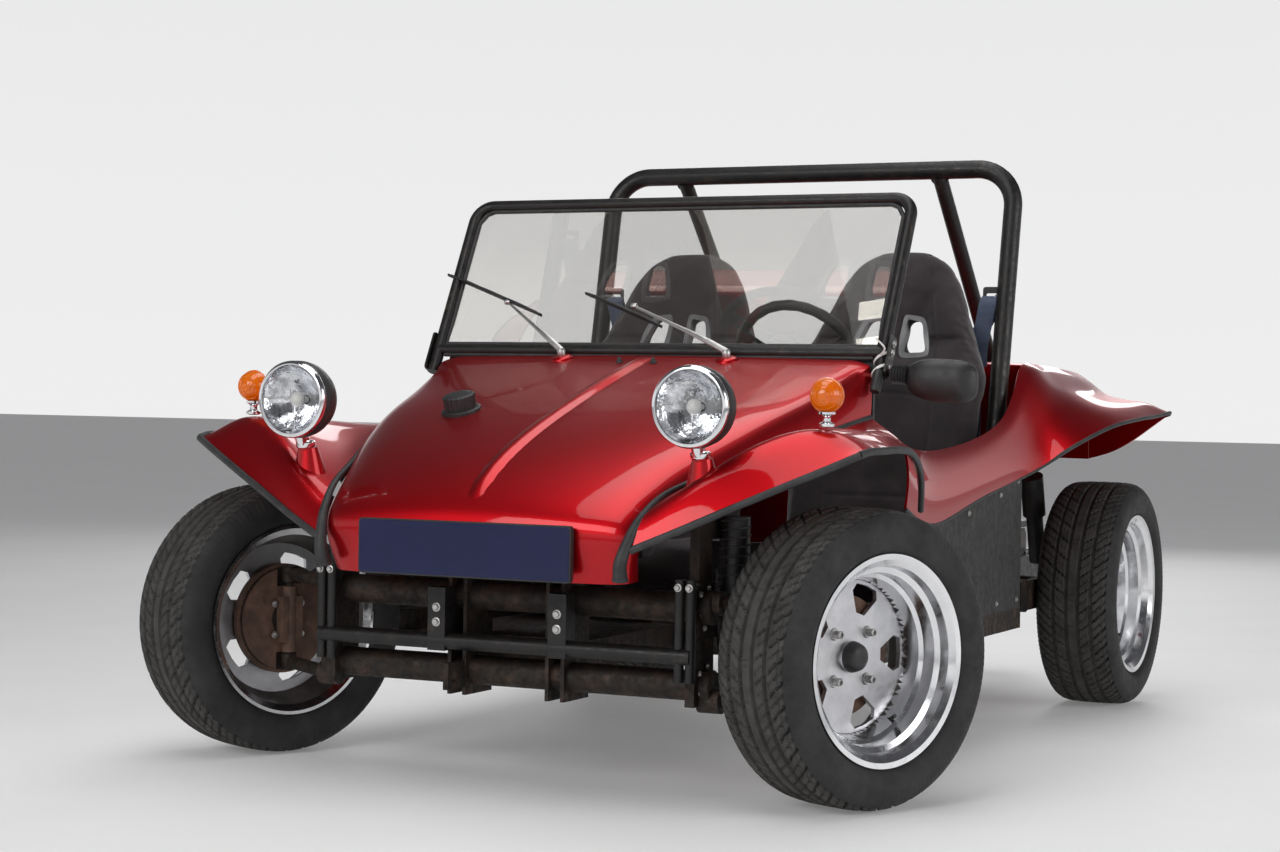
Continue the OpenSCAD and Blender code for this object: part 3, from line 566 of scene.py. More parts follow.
blinkers = Piece()
for sx in (-1, 1):
    c = mm(sx * BLINKER_X, -108, 802)
    globe = []
    for k in range(17):
        a = math.pi * k / 16
        globe.append((max(33 * math.sin(a), 0.01), -33 * math.cos(a)))
    blinkers.lathe(globe, c, FORWARD, 48, 0)
    blinkers.lathe([(31, -4), (34.5, -3), (35, 0), (34.5, 3), (31, 4)], c, FORWARD, 48, 0)
    for k in range(3):
        r = 28 - 8 * k
        h = math.sqrt(33.2 ** 2 - r * r)
        blinkers.tube(circle(c, r, -h), 1.0, 6, 0, closed=True)
    blinkers.lathe([(9, 0), (15, 2), (16, 7), (11, 10), (8, 11), (8, 20), (12, 24), (17, 26),
                    (17, 30)], mm(sx * BLINKER_X, -108, 740), (0, 0, 1), 32, 1)
blinker_obj = blinkers.make("indicator_globes", [AMBER, CHROME], slot="amber_plastic", angle=50)
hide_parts("indicators")

tails = Piece()
for sx in (-1, 1):
    c = mm(sx * 520, 2111, 715)
    tails.lathe([(47, 0), (48, 3), (48, 12), (45, 14), (43, 14)], c, (0, 1, 0), 48, 1)
    tails.lathe([(44, 13), (44, 24), (40, 29), (28, 31.4), (14, 32), (0.01, 32)], c, (0, 1, 0),
                48, 0)
    for r in (12, 22, 32):
        tails.tube(circle(c, r, 32.2), 1.1, 6, 0, closed=True)
tail_obj = tails.make("tail_lamps", [RED_LENS, CHROME], slot="red_plastic", angle=50)
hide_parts("tail_lights")

# ---------- fuel cap ----------
cap = Piece()
tilt = Matrix.Rotation(math.radians(18), 3, "X") @ Matrix.Rotation(math.radians(-3), 3, "Y")
up = tilt @ Vector((0, 0, 1))
c = mm(-236, 50, 751)


def ribs(a, k):
    return 1 + (0.04 if k in (3, 4) and math.sin(18 * a) > 0 else 0.0)


cap.lathe([(43, 2), (43, 10), (40, 12), (33, 13), (34, 40), (31, 43), (18, 44), (0.01, 44)], c, up,
          144, 0, ripple=ribs)
cap.make("ribbed_fuel_cap", [PLASTIC], slot="black_plastic", angle=40)
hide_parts("fuel_cap")

# ---------- windshield trim and wipers ----------
LEAN = math.radians(27)
S_UP = Vector((0, math.sin(LEAN), math.cos(LEAN)))
S_OUT = Vector((0, -math.cos(LEAN), math.sin(LEAN)))


def on_screen(x, h, out=0.0):
    """A point on the windshield, in mm across, up its slope, and out of its face."""
    return mm(x, 495, 896) + S_UP * h / 1000 + S_OUT * out / 1000


screen = Piece()
GASKET = [(-539, 15), (539, 15), (539, 344), (524, 368), (505, 376), (-505, 376), (-524, 368),
          (-539, 344)]
ring = []
for i, (x, h) in enumerate(GASKET):
    x2, h2 = GASKET[(i + 1) % len(GASKET)]
    for k in range(6):
        ring.append(on_screen(x + (x2 - x) * k / 6, h + (h2 - h) * k / 6))
screen.tube(ring, 5.5, 8, 0, closed=True)
for sx in (-1, 1):
    # rubber foot where the frame meets the body, bracket and its bolts
    screen.plate(rounded(34, 96, 8), on_screen(sx * 571, -8), S_OUT, S_UP, 5, 1)
    for h in (-38, 0, 22):
        screen.bolt(on_screen(sx * 573.5, h), (sx, 0, 0), 6, 5, 2)
screen.tube([mm(x, 486, 884) for x in range(-535, 536, 107)], 5, 8, 0)
screen.make("windshield_trim", [TRIM, BLACK, STEEL], slot="black_plastic", angle=50)

ties = Piece()
for h, reach in ((-14, 0.030), (-44, 0.0)):
    p = on_screen(555, h)
    ring = [p + Vector((16.5 * math.cos(t), 0, 0)) / 1000 + S_OUT * 16.5 * math.sin(t) / 1000
            + S_UP * 0.012 * math.cos(t) for t in [2 * math.pi * i / 24 for i in range(24)]]
    ties.tube(ring, 2.2, 6, 0, closed=True, flat=1.6, up=S_UP)
    if reach:
        ties.tube(catmull([p + S_OUT * 0.017, p + S_OUT * 0.024 + Vector((0.012, 0, 0.012)),
                           p + S_OUT * 0.02 + Vector((-0.01, 0, 0.034))], 4), 2.0, 6, 0)
ties.lathe([(10, 0), (12, 4), (12, 46), (9, 52)], on_screen(556, -100, 10), S_UP, 20, 1)
ties.make("cable_ties", [TIE, PLASTIC], slot="black_plastic", angle=50)

# Where each arm ends and its blade's two ends, across and up the screen
WIPERS = {-1: ((-398, 121), (-583, 199), (-305, 90)), 1: ((-66, 110), (-201, 147), (11, 61))}
wipers = Piece()
for sx in (-1, 1):
    pivot = mm(sx * 205, 452, 878)
    hit, nrm = drop(hood_tree, sx * 205, 450)
    base = hit if hit else pivot
    wipers.lathe([(27, -2), (26, 3), (19, 7), (11, 9)], base, nrm, 32, 2)
    wipers.lathe([(9, 6), (10, 9), (10, 20), (7, 24)], base, nrm, 24, 0)
    boss = base + nrm * 0.02
    far, left_end, right_end = WIPERS[sx]
    head = on_screen(*far, 12)
    elbow = boss.lerp(head, 0.30) + S_OUT * 0.010
    wipers.tube([boss, boss.lerp(elbow, 0.5) + S_OUT * 0.003, elbow, elbow.lerp(head, 0.5), head],
                [7.5, 7.0, 6.0, 4.0, 3.0], 10, 0, flat=0.5, up=S_OUT)
    ends = [on_screen(*left_end, 5), on_screen(*right_end, 5)]
    rib = [ends[0].lerp(ends[1], t / 10) for t in range(11)]
    wipers.tube(rib, 3.6, 6, 1, flat=1.9, up=S_OUT)
    for a, b in ((0.03, 0.46), (0.50, 0.97), (0.2, 0.8)):
        wipers.tube([ends[0].lerp(ends[1], a + (b - a) * k / 10)
                     + S_OUT * (0.004 + 0.008 * math.sin(math.pi * k / 10)) for k in range(11)],
                    3.2, 6, 1)
    wipers.lathe([(6, -7), (7, -3), (7, 3), (6, 7)], head, (1, 0, 0), 16, 0)
wiper_obj = wipers.make("wiper_arms", [STEEL, PLASTIC, RED], slot="black_plastic", angle=50)
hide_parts("wipers")

jets = Piece()
for sx in (-1, 1):
    hit, nrm = drop(hood_tree, sx * 42, 415)
    jets.lathe([(8, 0), (8, 3), (5, 6), (4, 12), (2, 13)], hit, nrm, 20, 0)
jets.make("washer_jets", [PLASTIC], slot="black_plastic", angle=50)

# ---------- mirror ----------
mirror = Piece()


def mirror_ring(grow, n=48):
    """The head's outline in mm: rounded towards the body, squarer on the outer end."""
    ring = []
    for i in range(n):
        a = 2 * math.pi * i / n
        power = 0.5 if math.cos(a) > 0 else 0.85
        x = 79 * abs(math.cos(a)) ** power * (1 if math.cos(a) > 0 else -1)
        z = 46 * abs(math.sin(a)) ** 0.62 * (1 if math.sin(a) > 0 else -1)
        ring.append((x * grow, z * grow - 0.05 * x * grow))
    return ring


rows = []
for i in range(11):
    t = i / 10
    swell = math.sin(math.pi * (0.10 + 0.78 * t)) ** 0.45
    rows.append([mm(698 + x, 438 + 58 * t, 838 + z) for x, z in mirror_ring(swell)])
mirror.grid(rows, 0, wrap_cols=True)
mirror.add(rows[0], [list(range(48))], 0)
mirror.add(rows[-1], [list(range(48))], 0)
mirror.plate(mirror_ring(0.80), mm(698, 496.5, 838), (1, 0, 0), (0, 0, 1), 2, 1)
bellows = []
for k in range(13):
    bellows.append((17 + (4 if k % 2 else 0), k * 3.2))
mirror.lathe(bellows, mm(584, 470, 850), (1, -0.05, -0.04), 32, 0)
mirror.tube([mm(572, 480, 853), mm(590, 476, 851), mm(625, 470, 846)], 8, 12, 0)
mirror_obj = mirror.make("door_mirror", [PLASTIC, MIRROR], slot="black_plastic", angle=45)
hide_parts("mirror")

# ---------- steering wheel ----------
HUB = mm(240, 800, 865)
COLUMN = (HUB - mm(130, -40, 430)).normalized()
su = Vector((1, 0, 0)) - COLUMN * COLUMN.x
su.normalize()
sv = COLUMN.cross(su)
wheel = Piece()
ring = [HUB + (su * math.cos(a) + sv * math.sin(a)) * 0.162
        for a in [2 * math.pi * i / 96 for i in range(96)]]
wheel.tube(ring, [12.4 + 0.7 * math.cos(24 * 2 * math.pi * i / 96) for i in range(96)], 20, 0,
           closed=True)
wheel.lathe([(36, -30), (37, -22), (36, -9), (32, -5), (24, -3), (12, -2.4), (0.01, -2.4)], HUB,
            COLUMN, 48, 0)
wheel.lathe([(18, -64), (19, -50), (24, -36), (30, -30)], HUB, COLUMN, 32, 0)
for k in range(3):
    a = math.radians(90 + 120 * k)
    d = su * math.cos(a) + sv * math.sin(a)
    e = COLUMN.cross(d)
    for sgn in (-1, 1):
        edge = [HUB + d * t / 1000 + e * sgn * (17 - 5 * math.sin(math.pi * (t - 26) / 130)) / 1000
                - COLUMN * 0.010 for t in range(26, 157, 10)]
        wheel.tube(edge, 3.0, 8, 1)
    for t0 in (52, 88, 124):
        hole = [(8.0 * math.cos(2 * math.pi * i / 24), 8.0 * math.sin(2 * math.pi * i / 24))
                for i in range(24)]
        square = []
        for x, y in hole:
            f = max(abs(x) / 18.2, abs(y) / 12.5)
            square.append((x / f, y / f))
        wheel.plate(square, HUB + d * t0 / 1000 - COLUMN * 0.010, d, e, 3.2, 1, hole=hole)
    for t0, w in ((29, 10), (149, 10)):
        wheel.plate([(-w, -13), (w, -13), (w, 13), (-w, 13)], HUB + d * t0 / 1000 - COLUMN * 0.010,
                    d, e, 3.2, 1)
for k in range(6):
    a = math.radians(60 * k + 30)
    wheel.bolt(HUB + (su * math.cos(a) + sv * math.sin(a)) * 0.028 - COLUMN * 0.006, COLUMN, 2.6,
               3.5, 2)
wheel_obj = wheel.make("steering_wheel_rim", [PLASTIC, BLACK, STEEL], body="steering_wheel",
                       slot="black_plastic", angle=45)
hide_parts("steering_wheel")

# ---------- wheels ----------
STEER = math.radians(23)
TREAD_HALF = 88
SECTION = [(192, 82), (200, 84), (208, 86.5), (214, 95), (222, 100.5), (232, 102.3), (244, 102.5),
           (256, 101.4), (266, 98.5), (275, 93.5), (282, 88)]
CROWN = [(282, 88), (287.5, 79), (290.5, 68), (292, 54), (292.8, 36), (293, 18), (293, 0)]


def crown_radius(x):
    x = abs(x)
    for (r0, x0), (r1, x1) in zip(CROWN, CROWN[1:]):
        if x1 <= x <= x0:
            return r0 + (r1 - r0) * (x0 - x) / (x0 - x1)
    return CROWN[0][0]


def groove(x, run):
    """Depth in mm of the tread pattern at x across and run mm round the tyre."""
    ax = abs(x)
    deep = 0.0
    for centre, half in ((15, 4.2), (48, 3.8)):
        if abs(ax - centre) < half:
            deep = 7.0
    if ax > 17:
        pitch = 46.0
        lean = run + 0.62 * ax + 0.0022 * ax * ax
        phase = lean % pitch
        if phase < (6.2 if ax > 50 else 4.4):
            deep = max(deep, 6.0)
        elif ax > 50 and abs(phase - pitch / 2 - 3) < 1.7:
            deep = max(deep, 4.0)
        elif ax < 46 and abs(phase - pitch / 2 - 2) < 1.5:
            deep = max(deep, 3.2)
    elif ax < 11 and (run % 34.5) < 1.6:
        deep = max(deep, 2.4)
    return deep


def tyre_section(twist, n=520):
    """Rings of (angle, radius, across) in mm for one tyre; twist turns the tread's direction."""
    rings = []
    xs = [-TREAD_HALF + 2 * TREAD_HALF * k / 58 for k in range(59)]
    for i in range(n):
        a = 2 * math.pi * i / n
        run = 293 * a * twist % (46 * 40)
        lifts = [0.9 if 262 < r < 280 and (i // 2) % 2 else 0.35 if 215 < r < 226 and i % 2 else 0.0
                 for r, _ in SECTION]
        ring = [(a, r, -x - lift) for (r, x), lift in zip(SECTION, lifts)]
        ring += [(a, crown_radius(x) - groove(x, run), x) for x in xs]
        ring += [(a, r, x + lift) for (r, x), lift in zip(SECTION[::-1], lifts[::-1])]
        ring += [(a, 193, 70), (a, 240, 60), (a, 240, -60), (a, 193, -70)]
        rings.append(ring)
    return rings


TYRE_RINGS = {twist: tyre_section(twist) for twist in (-1, 1)}


def tyre(name, centre, axis, twist, body):
    """centre and outboard axis in the row frame."""
    axis = Vector(axis).normalized()
    fwd = axis.cross(Vector((0, 0, 1))).normalized()
    rows = []
    for ring in TYRE_RINGS[twist]:
        a = ring[0][0]
        d = (fwd * math.cos(a) + Vector((0, 0, 1)) * math.sin(a)) / 1000
        rows.append([centre + d * r + axis * (x / 1000) for _, r, x in ring])
    p = Piece()
    p.grid(rows, 0, wrap_cols=True, wrap_rows=True)
    obj = p.make(name, [RUBBER, TREAD], body=body, slot="tyre_rubber", angle=32)
    for f in obj.data.polygons:
        rel = f.center - centre
        across = rel.dot(axis)
        if (rel - axis * across).length > 0.2885 or (abs(across) < 0.089 and 0.284
                                                     < (rel - axis * across).length < 0.2868):
            f.material_index = 1
    return obj


def wheel_bits(name, centre, axis, body, turn):
    """Bolts, black cap and valve; centre is the wheel's middle, axis outboard."""
    axis = Vector(axis).normalized()
    u, v = basis(axis)
    p = Piece()
    p.lathe([(26.5, -6), (30, -5.5), (31, -4), (29.5, 2), (26, 12), (21, 17), (12, 19.5),
             (0.01, 20)], centre, axis, 48, 0)
    for k in range(4):
        a = math.radians(45 + 90 * k + turn)
        at = centre + (u * math.cos(a) + v * math.sin(a)) * 0.065 - axis * 0.0125
        p.lathe([(12.5, 0), (12.5, 1.5), (10.5, 4), (10.5, 5)], at, axis, 32, 1)
        p.lathe([(8.6, 4), (8.6, 19), (7, 21), (5.5, 21.5), (5, 17), (0.01, 17)], at, axis, 6, 1)
    a = math.radians(90 + 36)
    d = u * math.cos(a) + v * math.sin(a)
    p.lathe([(6, 0), (5, 4), (3.4, 7), (3.4, 20), (4.2, 21), (4.2, 30), (3, 31)],
            centre + d * 0.160 + axis * 0.004, (axis - d * 0.55), 16, 0)
    return p.make(name, [PLASTIC, STEEL], body=body, slot="black_plastic", angle=40)


WHEELS = []
for end in ("front", "rear"):
    for side, word in ((1, "left"), (-1, "right")):
        if end == "front":
            turn = Matrix.Rotation(-STEER, 3, "Z")
            axis = turn @ Vector((side, 0, 0))
            centre = mm(side * 635, 0, 293) + axis * 0.067
        else:
            axis = Vector((side, 0, 0))
            centre = mm(side * 665, 1900, 293)
        body = "wheel_%s_%s" % (end, word)
        obj = tyre("tyre_tread_%s_%s" % (end, word), centre, axis, -side, body)
        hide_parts("tyre_%s_%s" % (end, word))
        wheel_bits("wheel_cap_bolts_%s_%s" % (end, word), centre, axis, body,
                   11 * side if end == "rear" else 0)
        WHEELS.append((end, word, centre, axis))

for end, word, centre, axis in WHEELS:
    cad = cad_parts["rim_%s_%s" % (end, word)]
    cad.data.materials.append(DRUM)
    cad.data.materials.append(CAST)
    cad.data.materials.append(DARK_CAST)
    for f in cad.data.polygons:
        rel = f.center - centre
        along = rel.dot(axis) * 1000
        radius = (rel - axis * rel.dot(axis)).length * 1000
        if radius < 121.5 and along < -24:
            f.material_index = 1
        elif radius < 160 and -26 < along < -8:
            f.material_index = 2
        elif along < -6 and radius < 186 and (radius < 176 or along > -80):
            f.material_index = 3

# ---------- seats ----------


def seat_shape(node, name, x0):
    """The bucket seat: the CAD solid remeshed, smoothed and dished, ready to be padded by cloth and
    given its seams.
    """
    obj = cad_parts[node].copy()
    obj.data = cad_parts[node].data.copy()
    obj.name = name
    obj.parent = None
    bpy.context.collection.objects.link(obj)
    bpy.context.view_layer.objects.active = obj
    for o in bpy.context.selected_objects:
        o.select_set(False)
    obj.select_set(True)
    if obj.data.has_custom_normals:
        bpy.ops.mesh.customdata_custom_splitnormals_clear()
    mod = obj.modifiers.new("voxels", "REMESH")
    mod.mode = "VOXEL"
    mod.voxel_size = 0.0095
    bpy.ops.object.modifier_apply(modifier=mod.name)
    mod = obj.modifiers.new("soften", "SMOOTH")
    mod.factor = 0.6
    mod.iterations = 22
    bpy.ops.object.modifier_apply(modifier=mod.name)
    origin = mm(x0, 0, 0)
    for v in obj.data.vertices:
        dx = (v.co.x - origin.x) * 1000
        y = v.co.y * 1000 + AXLE_Y
        z = v.co.z * 1000
        if z > 480 and v.normal.y < -0.25:
            wide = 150 if z < 950 else 110
            fade = min(1.0, (z - 480) / 120, max(0.0, (1130 - z) / 120))
            v.co.y += 0.026 * fade * math.exp(-(dx / wide) ** 4)
        if v.normal.z > 0.5 and z < 480 and y < 1150:
            v.co.z -= 0.022 * math.exp(-(dx / 140) ** 4) * min(1.0, max(0.0, (y - 850) / 60))
    return obj


def puff(obj):
    """A short cloth inflation with the movement capped, applied to the mesh."""
    scene = bpy.context.scene
    before = [v.co.copy() for v in obj.data.vertices]
    cloth = obj.modifiers.new("pad", "CLOTH")
    cloth.settings.quality = 3
    cloth.settings.use_pressure = True
    cloth.settings.uniform_pressure_force = 4.0
    cloth.settings.effector_weights.gravity = 0.0
    cloth.settings.mass = 0.3
    cloth.settings.tension_stiffness = 40
    cloth.settings.compression_stiffness = 40
    cloth.point_cache.frame_start, cloth.point_cache.frame_end = 1, 12
    for f in range(1, 13):
        scene.frame_set(f)
    dg = bpy.context.evaluated_depsgraph_get()
    moved = [v.co.copy() for v in obj.evaluated_get(dg).data.vertices]
    obj.modifiers.remove(cloth)
    scene.frame_set(1)
    limit = 0.009
    for v, a, b in zip(obj.data.vertices, before, moved):
        d = b - a
        if d.length > limit:
            d *= limit / d.length
        v.co = a + d


def seams(obj, x0):
    """Sewn channels: along both bolsters, across the cushion, and round the head."""
    mod = obj.modifiers.new("finer", "SUBSURF")
    mod.levels = mod.render_levels = 1
    bpy.context.view_layer.objects.active = obj
    bpy.ops.object.modifier_apply(modifier=mod.name)
    shift = []
    for v in obj.data.vertices:
        dx = abs((v.co.x - mm(x0, 0, 0).x) * 1000)
        y, z = v.co.y * 1000 + AXLE_Y, v.co.z * 1000
        deep = 0.0
        if v.normal.y < -0.2 and z > 470:
            line = 128 if z < 900 else 128 - 0.24 * (z - 900)
            deep = 2.4 * math.exp(-((dx - line) / 5) ** 2)
            if dx < line:
                deep = max(deep, 2.2 * math.exp(-((z - 560) / 5) ** 2),
                           2.0 * math.exp(-((z - 812 + 0.0008 * dx * dx) / 5) ** 2))
        elif v.normal.z > 0.4 and z < 480:
            deep = 4.5 * math.exp(-((dx - 140) / 4.5) ** 2)
            if dx < 140:
                deep = max(deep, 3.5 * math.exp(-((y - 960) / 5) ** 2))
        shift.append(v.normal * (deep / 1000))
    for v, s in zip(obj.data.vertices, shift):
        v.co -= s
    shade(obj, 80)


BELT_HOLE = [(30, -44), (98, -40), (74, 38), (30, 47)]


def seat_trim(tree, name, x0):
    """Grey plastic frames let into the seat round its two belt openings."""
    p = Piece()
    for sx in (-1, 1):
        rings = []
        for grow in (-2.0, 11.0):
            ring = []
            for i in range(4):
                (x1, z1), (x2, z2) = BELT_HOLE[i], BELT_HOLE[(i + 1) % 4]
                for k in range(8):
                    t = k / 8
                    ring.append(Vector((x1 + (x2 - x1) * t, z1 + (z2 - z1) * t, 0)))
            middle = sum(ring, Vector()) / len(ring)
            for _ in range(2):
                ring = [ring[i - 1] * 0.25 + ring[i] * 0.5 + ring[(i + 1) % len(ring)] * 0.25
                        for i in range(len(ring))]
            rings.append([q + (q - middle).normalized() * grow for q in ring])
        front = []
        for q in rings[1]:
            out = (q - Vector((58, 0, 0))).normalized() * 5
            start = mm(x0 + sx * (q.x + out.x), 1000, 952 + q.y + out.y)
            hit = tree.ray_cast(start, Vector((0, 1, 0)))[0]
            front.append(hit.y if hit else mm(0, 1272, 0).y)
        mid = sorted(front)[len(front) // 2]
        front = [min(max(y, mid - 0.02), mid + 0.02) for y in front]
        for _ in range(4):
            front = [front[i - 1] * 0.25 + front[i] * 0.5 + front[(i + 1) % len(front)] * 0.25
                     for i in range(len(front))]
        rows = []
        for ring, dy in ((rings[0], 0.030), (rings[0], -0.002), (rings[0], -0.005),
                         (rings[1], -0.005), (rings[1], 0.002)):
            rows.append([Vector((mm(x0 + sx * q.x, 0, 0).x, y + dy, (952 + q.y) / 1000))
                         for q, y in zip(ring, front)])
        p.grid(rows, 0, wrap_cols=True)
    return p.make(name, [GREY_PLASTIC], slot="black_plastic", angle=50)


first = seat_shape("seat_left", "bucket_seat_left", 295)
puff(first)
seams(first, 295)
second = bpy.data.objects.new("bucket_seat_right", first.data.copy())
bpy.context.collection.objects.link(second)
for v in second.data.vertices:
    v.co.x -= 0.59
for pad, side, word in ((first, 1, "left"), (second, -1, "right")):
    pad.data.materials.clear()
    pad.data.materials.append(CLOTH)
    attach(pad, "chassis")
    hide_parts("seat_" + word)
    seat_trim(surface_of(pad), "seat_trim_" + word, side * 295)

# ---------- seat belts ----------
belts = Piece()
for sx in (-1, 1):
    line = catmull([mm(sx * 524, 1364, 1050), mm(sx * 506, 1367, 1000), mm(sx * 474, 1369, 930),
                    mm(sx * 470, 1369, 800), mm(sx * 470, 1369, 560), mm(sx * 470, 1369, 305)], 8)
    wide = [Vector((0.023, 0, 0)) for _ in line]
    belts.strip(line, wide, [Vector((0, 1, 0))] * len(line), 1.6, 0)
    over = catmull([mm(sx * 520, 1352, 1056), mm(sx * 516, 1342, 1040), mm(sx * 505, 1346, 990),
                    mm(sx * 492, 1352, 930), mm(sx * 490, 1352, 880)], 8)
    belts.strip(over, [Vector((0.021, 0.004, 0)) for _ in over],
                [Vector((0, -1, 0.1))] * len(over), 1.6, 0)
    belts.plate(rounded(44, 54, 7), mm(sx * 520, 1358, 1052), (1, 0, 0), (0, 0, 1), 5, 1,
                hole=rounded(28, 22, 4))
    belts.bolt(mm(sx * 531, 1360, 1050), (-sx, 0, 0), 8, 7, 2)
    belts.plate(rounded(46, 26, 5), mm(sx * 470, 1369, 318), (1, 0, 0), (0, 0, 1), 6, 1)
belt_obj = belts.make("belt_straps", [WEBBING, PLASTIC, STEEL], slot="belt_webbing", angle=40)
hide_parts("seat_belts")

# ---------- roll bar fittings ----------
fit = Piece()
for sx in (-1, 1):
    fit.tube([mm(sx * 355 + 24 * math.cos(a), 1423 + 6, 1366 + 24 * math.sin(a)) for a in
              [2 * math.pi * i / 32 for i in range(32)]], 2.6, 8, 0, closed=True)
    for dx in (-24, 24):
        for dy in (-22, 24):
            fit.bolt(mm(sx * 355 + dx, 1881 + dy, 892.6 - 0.07 * dy), (0, 0.07, 1), 6, 6, 1)
    fit.plate(rounded(80, 70, 6), mm(sx * 556, 1208, 292.5), (1, 0, 0), (0, 1, 0), 5, 0)
fit.make("roll_bar_fittings", [BLACK, STEEL], slot="black_coat", angle=45)

# ---------- front end details ----------
front = Piece()
for sx in (-1, 1):
    for z in (200, 392):
        c = mm(sx * 635, 0, z)
        front.lathe([(15, -17), (16.6, -15), (16.6, 15), (15, 17)], c, (0, 0, 1), 32, 0)
        # rubber boot towards the knuckle
        s = 1 if z < 300 else -1
        front.lathe([(13, 14.5 * s), (16, 16 * s), (13, 17 * s), (15, 18.4 * s), (12, 19.6 * s),
                     (10, 20.4 * s)], c, (0, 0, 1), 32, 1)
    for z in (228, 382):
        c = mm(sx * 420, -130, z)
        front.lathe([(33, 4), (33, 22), (30, 26), (27, 27)], c, (sx, 0, 0), 32, 0)
        for k in range(6):
            a = math.radians(60 * k + 15)
            front.bolt(c + Vector((sx * 0.006, 0.043 * math.cos(a) * (0.6 if k % 2 else 1),
                                   0.040 * math.sin(a))), (sx, 0, 0), 5, 5, 2)
    # brake pipe from the beam to the drum, fixed at both ends
    front.tube(catmull([mm(sx * 424, -90, 420), mm(sx * 450, -70, 432), mm(sx * 500, -40, 425),
                        mm(sx * 560, -16, 404), mm(sx * 588, 4, 380)], 8), 4, 10, 1)
    for x in (398, 422):
        front.bolt(mm(sx * x, -206, 425), (0, -1, 0), 6, 6, 2)
    front.bolt(mm(sx * 138, -212, 330), (0, -1, 0), 7, 6, 2)
    front.bolt(mm(sx * 138, -212, 360), (0, -1, 0), 7, 6, 2)
    for k in range(7):
        # coil of the spring wrapped round each shock absorber's upper half
        zc = 540 - 18 * k
        ring = [mm(sx * 454 + 30.5 * math.cos(a), -60 + 30.5 * math.sin(a), zc + 9 * a / math.pi)
                for a in [2 * math.pi * i / 28 for i in range(28)]]
        front.tube(ring, 2.0, 6, 1)
front.make("front_axle_fittings", [RUST, TRIM, STEEL], slot="worn_steel", angle=45)

panel = Piece()
for sx in (-1, 1):
    for y, z in ((400, 330), (400, 520), (560, 310), (760, 310), (960, 310), (1160, 310),
                 (1320, 310), (1320, 600), (1180, 570), (940, 535), (660, 495)):
        panel.bolt(mm(sx * 608, y, z), (sx, 0, 0), 5, 4, 0)
panel.make("side_panel_screws", [STEEL], slot="worn_steel", angle=45)

# Backing plates and adjusters behind the front wheels, which steer with the knuckles
for side, word in ((1, "left"), (-1, "right")):
    axis = Matrix.Rotation(-STEER, 3, "Z") @ Vector((side, 0, 0))
    pivot = mm(side * 635, 0, 293)
    hub = Piece()
    hub.lathe([(112, 2), (113, 1.6), (113, 0.2), (108, -0.4), (76, -0.4), (70, -5), (64, -8),
               (60, -7), (38, -8), (36, -8.4), (24, -8.5)], pivot + axis * 0.018, axis, 72, 0)
    u, v = basis(axis)
    for k in range(4):
        a = math.radians(45 + 90 * k)
        hub.bolt(pivot + axis * 0.004 + (u * math.cos(a) + v * math.sin(a)) * 0.048, -axis, 6, 6, 1)
    for k in (60, 120, 250):
        a = math.radians(k)
        hub.lathe([(8, 0), (8, 1.5), (5, 2), (5, 4)], pivot + axis * 0.018
                  + (u * math.cos(a) + v * math.sin(a)) * 0.1, -axis, 20, 2)
    hub.make("brake_backing_" + word, [RUST, STEEL, TRIM], body="knuckle_" + word,
             slot="worn_steel", angle=40)

# ---------- engine ----------
engine = Piece()
REAR = Vector((0, 1, 0))
E = 1900  # the rear axle, from which the engine and gearbox are drawn
engine.box((-118, E + 112, 252), (118, E + 398, 470), 0)
for k in range(9):
    engine.box((-124, E + 128 + 30 * k, 262), (124, E + 134 + 30 * k, 300), 0)
engine.lathe([(70, 0), (74, 8), (74, 18), (66, 24), (30, 26)], mm(0, E + 250, 276), (0, 0, -1),
             48, 0)
for sx in (-1, 1):
    # cylinder fins, heads, valve covers and the tin above them
    for k in range(11):
        for y in (E + 185, E + 335):
            engine.plate(rounded(118, 120, 30), mm(sx * (128 + 11 * k), y, 368), (0, 1, 0),
                         (0, 0, 1), 2.6, 0)
    for y in (E + 185, E + 335):
        engine.lathe([(46, 0), (46, 125)], mm(sx * 116, y, 368), (sx, 0, 0), 32, 0)
    for k in range(8):
        engine.plate(rounded(270, 150, 18), mm(sx * (256 + 11 * k), E + 262, 360), (0, 1, 0),
                     (0, 0, 1), 4, 0)
    engine.plate(rounded(250, 136, 16), mm(sx * 295, E + 262, 360), (0, 1, 0), (0, 0, 1), 90, 0)
    for grow, x in ((0, 346), (-8, 360), (-26, 374)):
        engine.plate(rounded(288 + grow, 92 + grow, 26), mm(sx * x, E + 266, 330), (0, 1, 0),
                     (0, 0, 1), 12, 1)
    engine.tube(catmull([mm(sx * 352, E + 130, 300), mm(sx * 366, E + 240, 284),
                         mm(sx * 377, E + 266, 330), mm(sx * 366, E + 292, 376)], 6), 2.6, 8, 2)
    engine.plate([(-132, 0), (132, 0), (118, 18), (-118, 18)], mm(sx * 236, E + 262, 440),
                 (0, 1, 0), (0, 0, 1), 230, 1)
    # intake pipes from the middle to the heads
    engine.tube(catmull([mm(sx * 18, E + 398, 520), mm(sx * 90, E + 396, 512),
                         mm(sx * 200, E + 300, 492), mm(sx * 268, E + 270, 470),
                         mm(sx * 276, E + 266, 440)], 8), 15, 16, 1)
